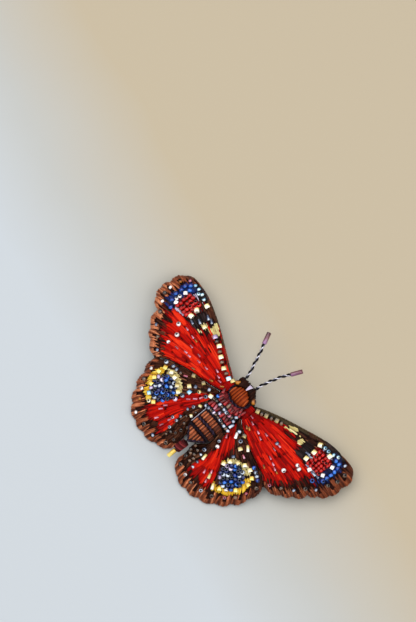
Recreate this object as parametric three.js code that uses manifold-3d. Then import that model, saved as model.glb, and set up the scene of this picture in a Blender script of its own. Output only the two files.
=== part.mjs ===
// A hand-made brooch in the shape of a peacock butterfly with open wings, seen from above.
// Padded satin-stitch wings on felt, glass bead eyespots, a thread-wrapped body, twisted wire
// antennae with glass tube beads, and a bar pin with a swinging stem on the back.
// Millimetres. +Y runs to the head, +X to the right wings, +Z up from the table.
import * as THREE from 'three';
import { mergeVertices } from 'three/addons/utils/BufferGeometryUtils.js';
import Module from 'manifold-3d';

const wasm = await Module();
wasm.setup();

// Driving sizes
const GAP = 0.35;
const BACK_Z = 4.0;
const FELT = 1.0;
const TIP_DROOP = 0.9;
const HALF_SPAN = 41;
const DROOP_START_Y = -4.5;
const DROOP_END_Y = -22;
const AXIS_X = 0.4;
const BODY_Z = BACK_Z + FELT + GAP;
const BEAD_R = 0.75;
const BEAD_CROWN = 0.55;
const BEAD_DEPTH = 1.8;
const BEAD_SIDES = 5;
const CUBE = 1.3;
const SCALLOP = 0.15;
const STEPS_PER_SCALLOP = 4;

// Wing thickness over its back face
const FIELD_THICK = 2.7;
const BORDER_THICK = 2.2;
const EDGE_THICK = 1.1;
const RIDGE = 0.24;
const BORDER_START = 0.87;
const FORE_SIDE_THICK = 2.1;
const HIND_SIDE_THICK = 1.4;
const RAY_STEPS = [0, 0.4, 0.83, 0.9, 0.965, 1];

// Colours of threads, beads and metals
const RED = 0xc22512;
const COPPER = 0xa65a38;
const DARK = 0x2a1712;
const BLUE = 0x1c3f95;
const YELLOW = 0xd9b64a;
const AMBER = 0xb5701c;
const LILAC = 0x9c7ba6;
const GOLD = 0xc79a45;
const MAROON = 0x5a1f25;
const WIRE = 0x3b3a44;
const STEEL = 0xb8babd;
const FELT_BLACK = 0x1b1918;

const brooch = new THREE.Group();

// Mixing and smoothing helpers
const mix = (a, b, t) => a + (b - a) * t;
const clamp01 = (t) => Math.min(1, Math.max(0, t));
function smooth(from, to, value) {
  const t = clamp01((value - from) / (to - from));
  return t * t * (3 - 2 * t);
}

// Height of every wing's back face: nearly level, with tips a little lower,
// and hindwings that come down to the table at their lower edge.
function backHeight(x, y) {
  const level = BACK_Z - TIP_DROOP * (x / HALF_SPAN) ** 2;
  return level * (1 - smooth(DROOP_START_Y, DROOP_END_Y, y));
}

// Solid from a grid of plan points with its own height above and below
function gridSolid(rows, columns, plan, low, high) {
  const positions = [];
  const index = (level, i, j) => (level * (rows + 1) + i) * (columns + 1) + j;
  const plans = [];
  for (let i = 0; i <= rows; i++) {
    for (let j = 0; j <= columns; j++) plans.push(plan(i, j));
  }
  for (const height of [low, high]) {
    for (let i = 0; i <= rows; i++) {
      for (let j = 0; j <= columns; j++) {
        const [x, y] = plans[i * (columns + 1) + j];
        positions.push(x, y, height(i, j, x, y));
      }
    }
  }
  const faces = [];
  const quad = (a, b, c, d) => faces.push(a, b, c, a, c, d);
  for (let i = 0; i < rows; i++) {
    for (let j = 0; j < columns; j++) {
      const [a, b, c, d] = [[i, j], [i + 1, j], [i + 1, j + 1], [i, j + 1]];
      quad(...[a, b, c, d].map((at) => index(1, ...at)));
      const under = [a, b, c, d].map((at) => index(0, ...at));
      faces.push(under[0], under[2], under[1], under[0], under[3], under[2]);
    }
  }
  const rim = [];
  for (let i = 0; i < rows; i++) rim.push([i, 0]);
  for (let j = 0; j < columns; j++) rim.push([rows, j]);
  for (let i = rows; i > 0; i--) rim.push([i, columns]);
  for (let j = columns; j > 0; j--) rim.push([0, j]);
  rim.forEach((at, k) => {
    const next = rim[(k + 1) % rim.length];
    quad(index(0, ...at), index(0, ...next), index(1, ...next), index(1, ...at));
  });
  const geometry = new THREE.BufferGeometry();
  geometry.setAttribute('position', new THREE.Float32BufferAttribute(positions, 3));
  geometry.setIndex(signedVolume(positions, faces) < 0 ? flipped(faces) : faces);
  return geometry;
}

function signedVolume(positions, faces) {
  const [a, b, c] = [new THREE.Vector3(), new THREE.Vector3(), new THREE.Vector3()];
  let sum = 0;
  for (let k = 0; k < faces.length; k += 3) {
    a.fromArray(positions, 3 * faces[k]);
    b.fromArray(positions, 3 * faces[k + 1]);
    c.fromArray(positions, 3 * faces[k + 2]);
    sum += a.dot(b.cross(c));
  }
  return sum;
}

function flipped(faces) {
  const turned = [];
  for (let k = 0; k < faces.length; k += 3) turned.push(faces[k], faces[k + 2], faces[k + 1]);
  return turned;
}

// Joining and cutting closed shapes
function toSolid(shape) {
  const bare = shape.clone();
  for (const name of Object.keys(bare.attributes)) {
    if (name !== 'position') bare.deleteAttribute(name);
  }
  const merged = mergeVertices(bare, 1e-5);
  return new wasm.Manifold(new wasm.Mesh({
    numProp: 3,
    vertProperties: Float32Array.from(merged.attributes.position.array),
    triVerts: Uint32Array.from(merged.index.array),
  }));
}

function largestBody(solid) {
  const pieces = solid.decompose();
  return pieces.reduce((best, piece) => (piece.volume() > best.volume() ? piece : best));
}

function toShape(solid) {
  const mesh = largestBody(solid).getMesh();
  const geometry = new THREE.BufferGeometry();
  geometry.setAttribute('position', new THREE.BufferAttribute(mesh.vertProperties, 3));
  geometry.setIndex(new THREE.BufferAttribute(mesh.triVerts, 1));
  return geometry;
}

const fuse = (shapes) => shapes.map(toSolid).reduce((whole, piece) => whole.add(piece));

function addNode(name, geometry, color, roughness, metalness = 0) {
  const material = new THREE.MeshStandardMaterial({ color, roughness, metalness });
  const mesh = new THREE.Mesh(geometry, material);
  mesh.name = name;
  brooch.add(mesh);
  return mesh;
}

// Beads, each sunk a little into what it is sewn to
function roundBead(x, y, z, radius = BEAD_R) {
  return new THREE.CylinderGeometry(BEAD_CROWN * radius, radius, BEAD_DEPTH * radius, BEAD_SIDES)
    .rotateX(Math.PI / 2)
    .rotateZ(x + y)
    .translate(x, y, z);
}

function cubeBead(x, y, z, angle, size = CUBE) {
  return new THREE.BoxGeometry(size, size, size).rotateZ(angle).translate(x, y, z);
}

function tubeBead(x, y, z, angle, length, radius) {
  return new THREE.CylinderGeometry(radius, radius, length, 6)
    .rotateZ(angle - Math.PI / 2)
    .translate(x, y, z);
}

// Wing outlines: a front edge, the notches between the scallops of the outer edge, and a back edge.
// All run outward from the body, and the outer edge runs from the front to the back.
const LEFT_FORE = {
  front: [[-4.95, 5.5], [-12, 9], [-20, 12.9], [-28, 15.9], [-34.5, 16.8]],
  notches: [
    [-34.5, 16.8], [-39.2, 15], [-40.4, 10.6], [-40.8, 7.2], [-39.8, 4.6],
    [-36.3, 2.4], [-33.2, -3], [-30.8, -5.2], [-25.7, -7.5],
  ],
  back: [[-4.95, 0.6], [-9, -0.6], [-16, -2.4], [-22, -4.8], [-25.7, -7.5]],
};
const RIGHT_FORE = {
  front: [[5.3, 5.2], [12, 8.9], [20, 12.2], [28, 15], [36, 15.7]],
  notches: [
    [36, 15.7], [40.4, 14.1], [40.7, 9.3], [40.3, 5], [38, 2.2],
    [35.9, 0.2], [33.2, -3.6], [30.9, -5.9], [25.3, -7.9],
  ],
  back: [[5.3, 0], [9, -2], [16, -4.4], [22, -6], [25.3, -7.9]],
};
const LEFT_HIND = {
  notches: [
    [-25.5, -8.1], [-24.3, -13], [-22.4, -17.8], [-19.9, -21.4], [-15.2, -24.1],
    [-11, -24.7], [-6.3, -24], [-1.8, -21.3],
  ],
  back: [[-4.95, -6.4], [-3.75, -7.7], [-3.7, -12.8], [-2, -16.8], [-1.8, -21.3]],
};
const RIGHT_HIND = {
  notches: [
    [25.1, -8.4], [24.9, -14.3], [22.6, -18.9], [19.4, -22.3], [15, -25],
    [10.6, -26], [6.4, -25.7], [1.9, -21.6],
  ],
  back: [[6.3, -6.6], [4.8, -7.7], [4.75, -12.8], [2.5, -16.8], [1.9, -21.6]],
};

function curveThrough(points) {
  return new THREE.SplineCurve(points.map(([x, y]) => new THREE.Vector2(x, y)));
}

// The back edge of a forewing, moved back by one gap: the front edge of its hindwing
function followingEdge(points, lastPoint) {
  const curve = curveThrough(points);
  const moved = [0, 0.25, 0.5, 0.75].map((t) => {
    const at = curve.getPoint(t);
    const along = curve.getTangent(t);
    const normal = new THREE.Vector2(-along.y, along.x);
    if (normal.y > 0) normal.negate();
    return [at.x + normal.x * GAP, at.y + normal.y * GAP];
  });
  return [...moved, lastPoint];
}

// Scalloped edge: one rounded lobe between two notches
function scallopPoint(notches, k) {
  const lobe = Math.min(Math.floor(k / STEPS_PER_SCALLOP), notches.length - 2);
  const t = k / STEPS_PER_SCALLOP - lobe;
  const [ax, ay] = notches[lobe];
  const [bx, by] = notches[lobe + 1];
  const out = SCALLOP * Math.sin(Math.PI * t) ** 0.8;
  const side = Math.sign(ax * by - ay * bx);
  return new THREE.Vector2(
    mix(ax, bx, t) + side * out * (by - ay),
    mix(ay, by, t) - side * out * (bx - ax),
  );
}

// Plan of a wing: a patch stretched between its front, outer, back and root edges
function wingPlan(wing) {
  const front = curveThrough(wing.front);
  const back = curveThrough(wing.back);
  const columns = (wing.notches.length - 1) * STEPS_PER_SCALLOP;
  const root = [front.getPoint(0), back.getPoint(0)];
  const tip = [scallopPoint(wing.notches, 0), scallopPoint(wing.notches, columns)];
  const at = (s, j) => {
    const w = j / columns;
    const edge = scallopPoint(wing.notches, j);
    const [f, b] = [front.getPoint(s), back.getPoint(s)];
    return ['x', 'y'].map((c) => mix(f[c], b[c], w)
      + mix(mix(root[0][c], root[1][c], w), edge[c], s)
      - mix(mix(root[0][c], root[1][c], w), mix(tip[0][c], tip[1][c], w), s));
  };
  return { at, columns };
}

// Thickness of the padded embroidery: soft field, wrapped border, low front and back edges
function wingThickness(s, j, columns, sideThick) {
  const w = j / columns;
  const field = mix(FIELD_THICK - 0.4, FIELD_THICK, smooth(0, 0.5, s));
  const outward = s < BORDER_START ? field : mix(BORDER_THICK, EDGE_THICK, smooth(0.95, 1, s));
  const side = clamp01(Math.min(j, columns - j) / 2);
  const ridge = j % 2 === 1 && s > 0.2 && s < 1 && w > 0 ? RIDGE : 0;
  return mix(Math.min(sideThick, outward), outward, side) + ridge;
}

function wingShape(wing, sideThick) {
  const { at, columns } = wingPlan(wing);
  return gridSolid(
    RAY_STEPS.length - 1,
    columns,
    (i, j) => at(RAY_STEPS[i], j),
    (i, j, x, y) => backHeight(x, y),
    (i, j, x, y) => backHeight(x, y) + wingThickness(RAY_STEPS[i], j, columns, sideThick),
  );
}

LEFT_HIND.front = followingEdge(LEFT_FORE.back, LEFT_HIND.notches[0]);
RIGHT_HIND.front = followingEdge(RIGHT_FORE.back, RIGHT_HIND.notches[0]);

// Eyespots: bead plates let into the wings
const EYESPOTS = [
  { name: 'forewing_left_eyespot', x: -31.9, y: 10.1, rx: 5.3, ry: 5.2, power: 2.6 },
  { name: 'forewing_right_eyespot', x: 31.6, y: 9.4, rx: 5.3, ry: 4.9, power: 2.6 },
  { name: 'hindwing_left_eyespot', x: -17, y: -12.3, rx: 5.6, ry: 5.6, power: 2 },
  { name: 'hindwing_right_eyespot', x: 17.2, y: -14.1, rx: 5.6, ry: 5.6, power: 2 },
];
const PLATE_LOW = 1.4;
const PLATE_HIGH = FIELD_THICK + 0.1;
const PLATE_SIDES = 18;
const TALL = 12;
const RINGS = [[6, 1.6], [9, 3.2], [12, 4.75]];

function ovalPrism({ x, y, rx, ry, power }, grow) {
  const points = [];
  for (let k = 0; k < PLATE_SIDES; k++) {
    const turn = (2 * Math.PI * k) / PLATE_SIDES;
    const [c, s] = [Math.cos(turn), Math.sin(turn)];
    const reach = (Math.abs(c) ** power + Math.abs(s) ** power) ** (-1 / power);
    points.push(new THREE.Vector2(x + (rx + grow) * reach * c, y + (ry + grow) * reach * s));
  }
  const outline = new THREE.Shape(points);
  return new THREE.ExtrudeGeometry(outline, { depth: TALL, bevelEnabled: false })
    .translate(0, 0, -1);
}

function ovalSlab(spot, grow, low, high) {
  const steps = 4;
  const reach = Math.max(spot.rx, spot.ry) + grow + 0.5;
  const plan = (i, j) => [
    spot.x + reach * (2 * i / steps - 1),
    spot.y + reach * (2 * j / steps - 1),
  ];
  const sheet = gridSolid(
    steps,
    steps,
    plan,
    (i, j, x, y) => backHeight(x, y) + low,
    (i, j, x, y) => backHeight(x, y) + high,
  );
  return toSolid(sheet).intersect(toSolid(ovalPrism(spot, grow)));
}

// Beads sewn on the wings. A sewn bead stands on the padding with its lower third in it.
const BORDER_BEAD_S = 0.925;
const COSTAL_CUBES = 10;
const COSTAL_INSET = 1.65;
const COSTAL_START = 0.05;
const COSTAL_END = 0.5;
const ROW_INSET = 2.6;
const ROW_BEADS = 6;
const TUBE_LENGTH = 1.9;
const FIELD_TUBE_R = 0.45;

function sewnHeight(x, y, thick) {
  return backHeight(x, y) + thick + BEAD_R / 3;
}

const sewnBead = (x, y, radius = BEAD_R) => roundBead(x, y, sewnHeight(x, y, FIELD_THICK), radius);

// One bead in each scallop of the outer edge
function borderBeads(wing) {
  const { at, columns } = wingPlan(wing);
  const beads = [];
  for (let j = STEPS_PER_SCALLOP / 2; j < columns; j += STEPS_PER_SCALLOP) {
    const [x, y] = at(BORDER_BEAD_S, j);
    beads.push(roundBead(x, y, sewnHeight(x, y, BORDER_THICK)));
  }
  return beads;
}

// Point and direction beside a curve, moved towards the back of the wing
function besideCurve(curve, t, inset) {
  const at = curve.getPointAt(t);
  const along = curve.getTangentAt(t);
  const normal = new THREE.Vector2(-along.y, along.x);
  if (normal.y > 0) normal.negate();
  return {
    x: at.x + normal.x * inset,
    y: at.y + normal.y * inset,
    angle: Math.atan2(along.y, along.x),
  };
}

// Row of cube beads behind the front edge of a forewing
function costalCubes(wing) {
  const front = curveThrough(wing.front);
  const beads = [];
  for (let k = 0; k < COSTAL_CUBES; k++) {
    const t = mix(COSTAL_START, COSTAL_END, k / (COSTAL_CUBES - 1));
    const { x, y, angle } = besideCurve(front, t, COSTAL_INSET);
    beads.push(cubeBead(x, y, sewnHeight(x, y, FIELD_THICK - 0.3), angle));
  }
  return beads;
}

// Beads and short tubes scattered along the stitches of a forewing's red field.
// Each place is a share of the way out and a share of the way from front to back.
const FIELD_BEADS = [[0.7, 0.62], [0.66, 0.78], [0.71, 0.96]];
const FIELD_TUBES = [[0.3, 0.45], [0.42, 0.6], [0.52, 0.42], [0.56, 0.7], [0.62, 0.88], [0.5, 0.85]];

function fieldBeads(wing) {
  const { at, columns } = wingPlan(wing);
  const round = FIELD_BEADS.map(([s, w]) => sewnBead(...at(s, w * columns - 1)));
  const tubes = FIELD_TUBES.map(([s, w]) => {
    const [x, y] = at(s, w * columns);
    const [nextX, nextY] = at(s + 0.02, w * columns);
    const angle = Math.atan2(nextY - y, nextX - x);
    const z = backHeight(x, y) + FIELD_THICK + 0.1;
    return tubeBead(x, y, z, angle, TUBE_LENGTH, FIELD_TUBE_R);
  });
  return [...round, ...tubes];
}

// Beads of a hindwing: a row behind its front edge and a row down the inner side of its red field
const INNER_ROW = [[0.2, 0.9], [0.36, 0.86], [0.5, 0.84], [0.64, 0.83], [0.78, 0.84]];

function hindwingBeads(wing) {
  const { at, columns } = wingPlan(wing);
  const front = curveThrough(wing.front);
  const beads = [];
  for (let k = 0; k < ROW_BEADS; k++) {
    const { x, y } = besideCurve(front, mix(0.14, 0.86, k / (ROW_BEADS - 1)), ROW_INSET);
    beads.push(sewnBead(x, y));
  }
  for (const [s, w] of INNER_ROW) beads.push(sewnBead(...at(s, w * columns), 0.6));
  return beads;
}

// Wings
function addWing(name, wing, sideThick, spot, beads) {
  const pocket = ovalSlab(spot, GAP, PLATE_LOW - GAP, TALL);
  const solid = fuse([wingShape(wing, sideThick), ...borderBeads(wing), ...beads]);
  addNode(name, toShape(solid.subtract(pocket)), RED, 0.6);
}

// Beads of the apex eyespot: a blue arc on the outer side, white beads inside it, a field of red
// beads, two yellow cubes and a cream one towards the body, and tubes below.
function apexBeads(spot) {
  const out = Math.sign(spot.x);
  const place = (dx, dy) => [spot.x + out * dx, spot.y + dy];
  const beads = [];
  for (let k = 0; k < 5; k++) {
    const turn = mix(-0.95, 0.95, k / 4);
    beads.push(sewnBead(...place(4.5 * Math.cos(turn), 4.3 * Math.sin(turn)), 0.8));
  }
  for (const dy of [-1.9, -0.2, 1.5]) beads.push(sewnBead(...place(2.7, dy), 0.65));
  for (let row = 0; row < 4; row++) {
    for (let k = 0; k < 3; k++) {
      beads.push(sewnBead(...place(-1.9 + 1.55 * k, 2.4 - 1.6 * row), 0.7));
    }
  }
  for (let k = 0; k < 4; k++) beads.push(sewnBead(...place(-2.2 + 1.5 * k, 4.35), 0.6));
  for (const [dx, dy] of [[-3.7, 0.9], [-3.6, -1.7], [-3.9, 3.3]]) {
    const [x, y] = place(dx, dy);
    beads.push(cubeBead(x, y, sewnHeight(x, y, FIELD_THICK - 0.3), 0.1 * out));
  }
  for (const dx of [-1.8, 0.6]) {
    const [x, y] = place(dx, -4.2);
    beads.push(tubeBead(x, y, backHeight(x, y) + FIELD_THICK + 0.3, 0, 2.1, 0.5));
  }
  return beads;
}

// Beads of a hindwing eyespot: a ring round a close cluster
function ringBeads(spot) {
  const beads = [sewnBead(spot.x, spot.y)];
  for (const [count, radius] of RINGS) {
    for (let k = 0; k < count; k++) {
      const turn = (2 * Math.PI * k) / count + radius;
      beads.push(sewnBead(spot.x + radius * Math.cos(turn), spot.y + radius * Math.sin(turn)));
    }
  }
  return beads;
}

function addEyespot(spot, beads) {
  const plate = ovalSlab(spot, 0, PLATE_LOW, PLATE_HIGH);
  const sewn = beads.map(toSolid).reduce((whole, bead) => whole.add(bead), plate);
  const trimmed = sewn.intersect(toSolid(ovalPrism(spot, 0)));
  addNode(spot.name, toShape(trimmed), BLUE, 0.25);
}

const [FORE_LEFT_SPOT, FORE_RIGHT_SPOT, HIND_LEFT_SPOT, HIND_RIGHT_SPOT] = EYESPOTS;
for (const [name, wing, spot] of [
  ['forewing_left', LEFT_FORE, FORE_LEFT_SPOT],
  ['forewing_right', RIGHT_FORE, FORE_RIGHT_SPOT],
]) {
  addWing(name, wing, FORE_SIDE_THICK, spot, [...costalCubes(wing), ...fieldBeads(wing)]);
  addEyespot(spot, apexBeads(spot));
}
for (const [name, wing, spot] of [
  ['hindwing_left', LEFT_HIND, HIND_LEFT_SPOT],
  ['hindwing_right', RIGHT_HIND, HIND_RIGHT_SPOT],
]) {
  addWing(name, wing, HIND_SIDE_THICK, spot, hindwingBeads(wing));
  addEyespot(spot, ringBeads(spot));
}

// Body pads, laid on a felt strip between the wing roots. Threads run along Y.
const THORAX_HALF = 3.6;
const HEAD_HALF = 4.4;
const ABDOMEN_HALF = 3.8;
const THREAD_RIDGE = 0.16;

const neckEdge = (x) => 5.9 - 0.1 * (x - AXIS_X) ** 2;
const waistEdge = (x) => 0.5 + 0.13 * (x - AXIS_X) ** 2;
const headFront = (x) => 8.8 - 0.013 * Math.abs(x - AXIS_X) ** 3.6;

function padColumn(j, columns, half) {
  return AXIS_X + half * (2 * j / columns - 1);
}

function dome(x, half) {
  return Math.sqrt(1 - 0.8 * clamp01(Math.abs(x - AXIS_X) / half) ** 2);
}

function addThorax() {
  const columns = 12;
  const rows = [0, 0.12, 0.3, 0.6, 0.9, 1];
  const rise = [1.6, 2.6, 3.2, 3.7, 3.4, 2.6];
  const plan = (i, j) => {
    const x = padColumn(j, columns, THORAX_HALF);
    return [x, mix(waistEdge(x), neckEdge(x) - GAP / 2, rows[i])];
  };
  const high = (i, j, x) => BODY_Z + rise[i] * dome(x, THORAX_HALF * 1.05)
    + (j % 2 && i > 0 ? THREAD_RIDGE : 0);
  const pad = gridSolid(rows.length - 1, columns, plan, () => BODY_Z, high);
  addNode('thorax', pad, COPPER, 0.45, 0.2);
}

const EYES = [
  { name: 'eye_left', x: -3.35, y: 6.1, z: 6.6 },
  { name: 'eye_right', x: 4.15, y: 5.75, z: 6.6 },
];
const EYE_R = 0.85;

function addHead() {
  const columns = 12;
  const rows = [0, 0.25, 0.6, 0.88, 1];
  const rise = [2.7, 3, 2.9, 2.3, 1.2];
  const plan = (i, j) => {
    const x = padColumn(j, columns, HEAD_HALF);
    return [x, mix(neckEdge(x) + GAP / 2, headFront(x), rows[i])];
  };
  const high = (i, j, x) => BODY_Z + rise[i] * dome(x, HEAD_HALF)
    + (j % 2 ? THREAD_RIDGE : 0);
  let solid = toSolid(gridSolid(rows.length - 1, columns, plan, () => BODY_Z, high));
  for (const eye of EYES) {
    const socket = new THREE.IcosahedronGeometry(EYE_R + GAP, 1).translate(eye.x, eye.y, eye.z);
    solid = solid.subtract(toSolid(socket));
    const bead = new THREE.IcosahedronGeometry(EYE_R, 1).translate(eye.x, eye.y, eye.z);
    addNode(eye.name, bead, AMBER, 0.15);
  }
  addNode('head', toShape(solid), DARK, 0.6);
}

// Band of beads across the body between the thorax and the abdomen
const BAND_LEFT = -4.6;
const BAND_TOP_Y = -0.6;
const BAND_LOW_Y = -6.4;
const BAND_RISE = 2.2;
const BAND_BEAD_ROWS = 5;
const BAND_BEADS = 6;
const BAND_BEAD_R = 0.62;
const BAND_BEAD_PITCH = 1.2;
const BAND_BEAD_INSET = 0.9;
const BAND_DOME_HALF = 6.2;

function bandRight(y) {
  return 4.95 + 0.95 * clamp01((BAND_TOP_Y - y) / (BAND_TOP_Y - BAND_LOW_Y));
}

function addBand() {
  const columns = 8;
  const rows = 6;
  const plan = (i, j) => {
    const t = j / columns;
    const middle = mix(BAND_LEFT, bandRight(BAND_TOP_Y), t);
    const top = Math.min(waistEdge(middle) - GAP, 2.2);
    const y = mix(top, BAND_LOW_Y, i / rows);
    return [mix(BAND_LEFT, bandRight(y), t), y];
  };
  const high = (i, j, x, y) => {
    const edge = Math.min(i, rows - i, 1);
    return BODY_Z + mix(1.5, BAND_RISE, edge) * dome(x, BAND_DOME_HALF);
  };
  const pad = gridSolid(rows, columns, plan, () => BODY_Z, high);
  const beads = [];
  for (let row = 0; row < BAND_BEAD_ROWS; row++) {
    for (let k = 0; k < BAND_BEADS; k++) {
      const y = BAND_TOP_Y - BAND_BEAD_PITCH * row;
      const share = (k + (row % 2) * 0.5) / BAND_BEADS;
      const x = mix(BAND_LEFT + BAND_BEAD_INSET, bandRight(y) - BAND_BEAD_INSET, share);
      const z = BODY_Z + BAND_RISE * dome(x, BAND_DOME_HALF) + 0.1;
      beads.push(roundBead(x, y, z, BAND_BEAD_R));
    }
  }
  addNode('bead_band', toShape(fuse([pad, ...beads])), MAROON, 0.3);
}

// Abdomen: two straight copper bands and a pointed one, with dark cords between and round them
const ABDOMEN_TOP_Y = -6.75;
const ABDOMEN_V_Y = -13.2;
const ABDOMEN_TIP_Y = -17.3;
const ABDOMEN_ROWS = [
  [-6.75, 1.7], [-7.05, 2.8], [-8.2, 3.3], [-9.3, 2.9], [-9.45, 3.1], [-10.15, 3.1],
  [-10.3, 2.9], [-11.3, 3.2], [-12.3, 2.8], [-12.45, 3], [-13.2, 3],
];
const POINT_ROWS = [[0.05, 2.8], [0.5, 2.9], [0.82, 2.4], [0.86, 2.6], [1, 1.9]];

const abdomenTip = (x) => Math.min(
  ABDOMEN_V_Y - 0.3,
  ABDOMEN_TIP_Y + Math.abs(x - AXIS_X - 0.1) * 1.02,
);

function addAbdomen() {
  const columns = 12;
  const rows = [...ABDOMEN_ROWS, ...POINT_ROWS];
  const straight = ABDOMEN_ROWS.length;
  const plan = (i, j) => {
    const x = padColumn(j, columns, ABDOMEN_HALF);
    const y = i < straight ? rows[i][0] : mix(ABDOMEN_V_Y, abdomenTip(x), rows[i][0]);
    return [x, y];
  };
  const high = (i, j, x) => BODY_Z + rows[i][1] * dome(x, ABDOMEN_HALF * 1.03)
    + (j % 2 && i > 0 && i < rows.length - 1 ? THREAD_RIDGE : 0);
  const pad = gridSolid(rows.length - 1, columns, plan, () => BODY_Z, high);
  addNode('abdomen', pad, COPPER, 0.45, 0.2);
}

// Felt strip under the body
function addBacking() {
  const columns = 6;
  const stops = [[-17, 0.8], [-13.4, 3.7], [-6.9, 3.9], [-6.3, 4.9], [0.4, 4.9], [6.4, 4.2], [8.2, 2.6]];
  const plan = (i, j) => {
    const [y, half] = stops[i];
    const left = Math.max(AXIS_X - half, BAND_LEFT);
    const right = Math.min(AXIS_X + half, bandRight(y));
    return [mix(left, right, j / columns), y];
  };
  const strip = gridSolid(stops.length - 1, columns, plan, () => BACK_Z, () => BACK_Z + FELT);
  addNode('body_backing', strip, FELT_BLACK, 0.95);
}

addThorax();
addHead();
addBand();
addAbdomen();
addBacking();

// Tail: a wrapped roll of small beads and one gold tube bead, sloping down between the hindwings
const TAIL_X = 0.05;
const TAIL_ROLL_R = 1.35;
const TAIL_FROM = new THREE.Vector3(TAIL_X + 0.15, -17.6, 5.7);
const TAIL_JOIN = new THREE.Vector3(TAIL_X - 0.25, -21.1, 4.3);
const TAIL_END = new THREE.Vector3(TAIL_X - 0.4, -24.3, 3.2);
const TAIL_BEAD_R = 0.7;
const TAIL_RINGS = 4;
const TAIL_GROOVE = 0.25;

function alongAxis(geometry, from, to) {
  const direction = to.clone().sub(from);
  const turn = new THREE.Quaternion().setFromUnitVectors(
    new THREE.Vector3(0, 1, 0),
    direction.clone().normalize(),
  );
  const middle = from.clone().add(to).multiplyScalar(0.5);
  return geometry.applyQuaternion(turn).translate(middle.x, middle.y, middle.z);
}

function addTail() {
  const length = TAIL_FROM.distanceTo(TAIL_JOIN);
  const profile = [new THREE.Vector2(0, -length / 2)];
  for (let k = 0; k <= 2 * TAIL_RINGS; k++) {
    const radius = k % 2 ? TAIL_ROLL_R : TAIL_ROLL_R - TAIL_GROOVE;
    profile.push(new THREE.Vector2(radius, length * (k / (2 * TAIL_RINGS) - 0.5)));
  }
  profile.push(new THREE.Vector2(0, length / 2));
  const roll = new THREE.LatheGeometry(profile, 10);
  addNode('tail_roll', alongAxis(roll, TAIL_FROM, TAIL_JOIN), MAROON, 0.35);
  const step = TAIL_END.clone().sub(TAIL_JOIN).normalize().multiplyScalar(GAP);
  const start = TAIL_JOIN.clone().add(step);
  const tube = new THREE.CylinderGeometry(TAIL_BEAD_R, TAIL_BEAD_R, start.distanceTo(TAIL_END), 10);
  addNode('tail_bead', alongAxis(tube, start, TAIL_END), GOLD, 0.2, 0.3);
}
addTail();

// Antennae: two wires twisted together, each carrying a tube bead
const WIRE_HALF_WIDE = 0.42;
const WIRE_HALF_THIN = 0.27;
const TWIST_PITCH = 3.6;
const TUBE_R = 0.72;
const ANTENNAE = [
  {
    side: 'left',
    wire: [[-2.95, 9.1, 7], [-3.4, 11, 7.6], [-4.3, 13, 8.1], [-5.9, 17, 8.7], [-6.95, 19.1, 8.9]],
    tube: [[-7.1, 19.4, 8.95], [-8.7, 22.9, 9.2]],
  },
  {
    side: 'right',
    wire: [[1.7, 9.05, 7], [2, 11, 7.6], [2.6, 13, 8.1], [4.1, 17.4, 8.7], [5.15, 19.2, 8.9]],
    tube: [[5.3, 19.5, 8.95], [6.9, 22.9, 9.2]],
  },
];

function twistedWire(points) {
  const curve = new THREE.CatmullRomCurve3(points.map((p) => new THREE.Vector3(...p)));
  const sides = 6;
  const steps = 22;
  const length = curve.getLength();
  const frames = curve.computeFrenetFrames(steps, false);
  const positions = [];
  const faces = [];
  for (let i = 0; i <= steps; i++) {
    const centre = curve.getPointAt(i / steps);
    const twist = (2 * Math.PI * length * i) / (steps * TWIST_PITCH);
    for (let k = 0; k < sides; k++) {
      const turn = (2 * Math.PI * k) / sides;
      const [a, b] = [WIRE_HALF_WIDE * Math.cos(turn), WIRE_HALF_THIN * Math.sin(turn)];
      const u = a * Math.cos(twist) - b * Math.sin(twist);
      const v = a * Math.sin(twist) + b * Math.cos(twist);
      const at = centre.clone()
        .addScaledVector(frames.normals[i], u)
        .addScaledVector(frames.binormals[i], v);
      positions.push(at.x, at.y, at.z);
    }
  }
  for (let i = 0; i < steps; i++) {
    for (let k = 0; k < sides; k++) {
      const [a, b] = [i * sides + k, i * sides + (k + 1) % sides];
      faces.push(a, b, b + sides, a, b + sides, a + sides);
    }
  }
  for (let k = 1; k < sides - 1; k++) {
    faces.push(0, k + 1, k);
    const last = steps * sides;
    faces.push(last, last + k, last + k + 1);
  }
  const geometry = new THREE.BufferGeometry();
  geometry.setAttribute('position', new THREE.Float32BufferAttribute(positions, 3));
  geometry.setIndex(signedVolume(positions, faces) < 0 ? flipped(faces) : faces);
  return geometry;
}

for (const { side, wire, tube } of ANTENNAE) {
  addNode(`antenna_${side}`, twistedWire(wire), WIRE, 0.35, 0.6);
  const [from, to] = tube.map((p) => new THREE.Vector3(...p));
  const bead = new THREE.CylinderGeometry(TUBE_R, TUBE_R, from.distanceTo(to), 10);
  addNode(`antenna_${side}_tip`, alongAxis(bead, from, to), LILAC, 0.2);
}

// Bar pin on the back: a plate with two ears that hold the axle, and an open catch
const PIN_Y = 1.5;
const BAR_LENGTH = 26;
const BAR_WIDTH = 5;
const BAR_LOW = 2.9;
const BAR_HIGH = 3.55;
const SEWING_HOLE_X = 4.5;
const SEWING_HOLE_R = 0.9;
const WALL_TOP = BAR_LOW + 0.3;
const AXLE_X = -11.2;
const AXLE_Z = 1.5;
const AXLE_R = 0.45;
const EAR_INNER = 1.1;
const EAR_THICK = 0.7;
const EAR_HALF_LENGTH = 1.3;
const CATCH_X = 10.6;
const STEM_R = 0.45;
const STEM_REACH = 23.6;
const STEM_START = 0.8;
const STEM_POINT = 2.5;
const KNUCKLE_R = 1.05;
const KNUCKLE_HOLE_R = 0.6;
const KNUCKLE_WIDTH = 1.5;

function boxBetween(low, high) {
  const size = high.map((value, k) => value - low[k]);
  const middle = high.map((value, k) => (value + low[k]) / 2);
  return new THREE.BoxGeometry(...size).translate(...middle);
}

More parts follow.
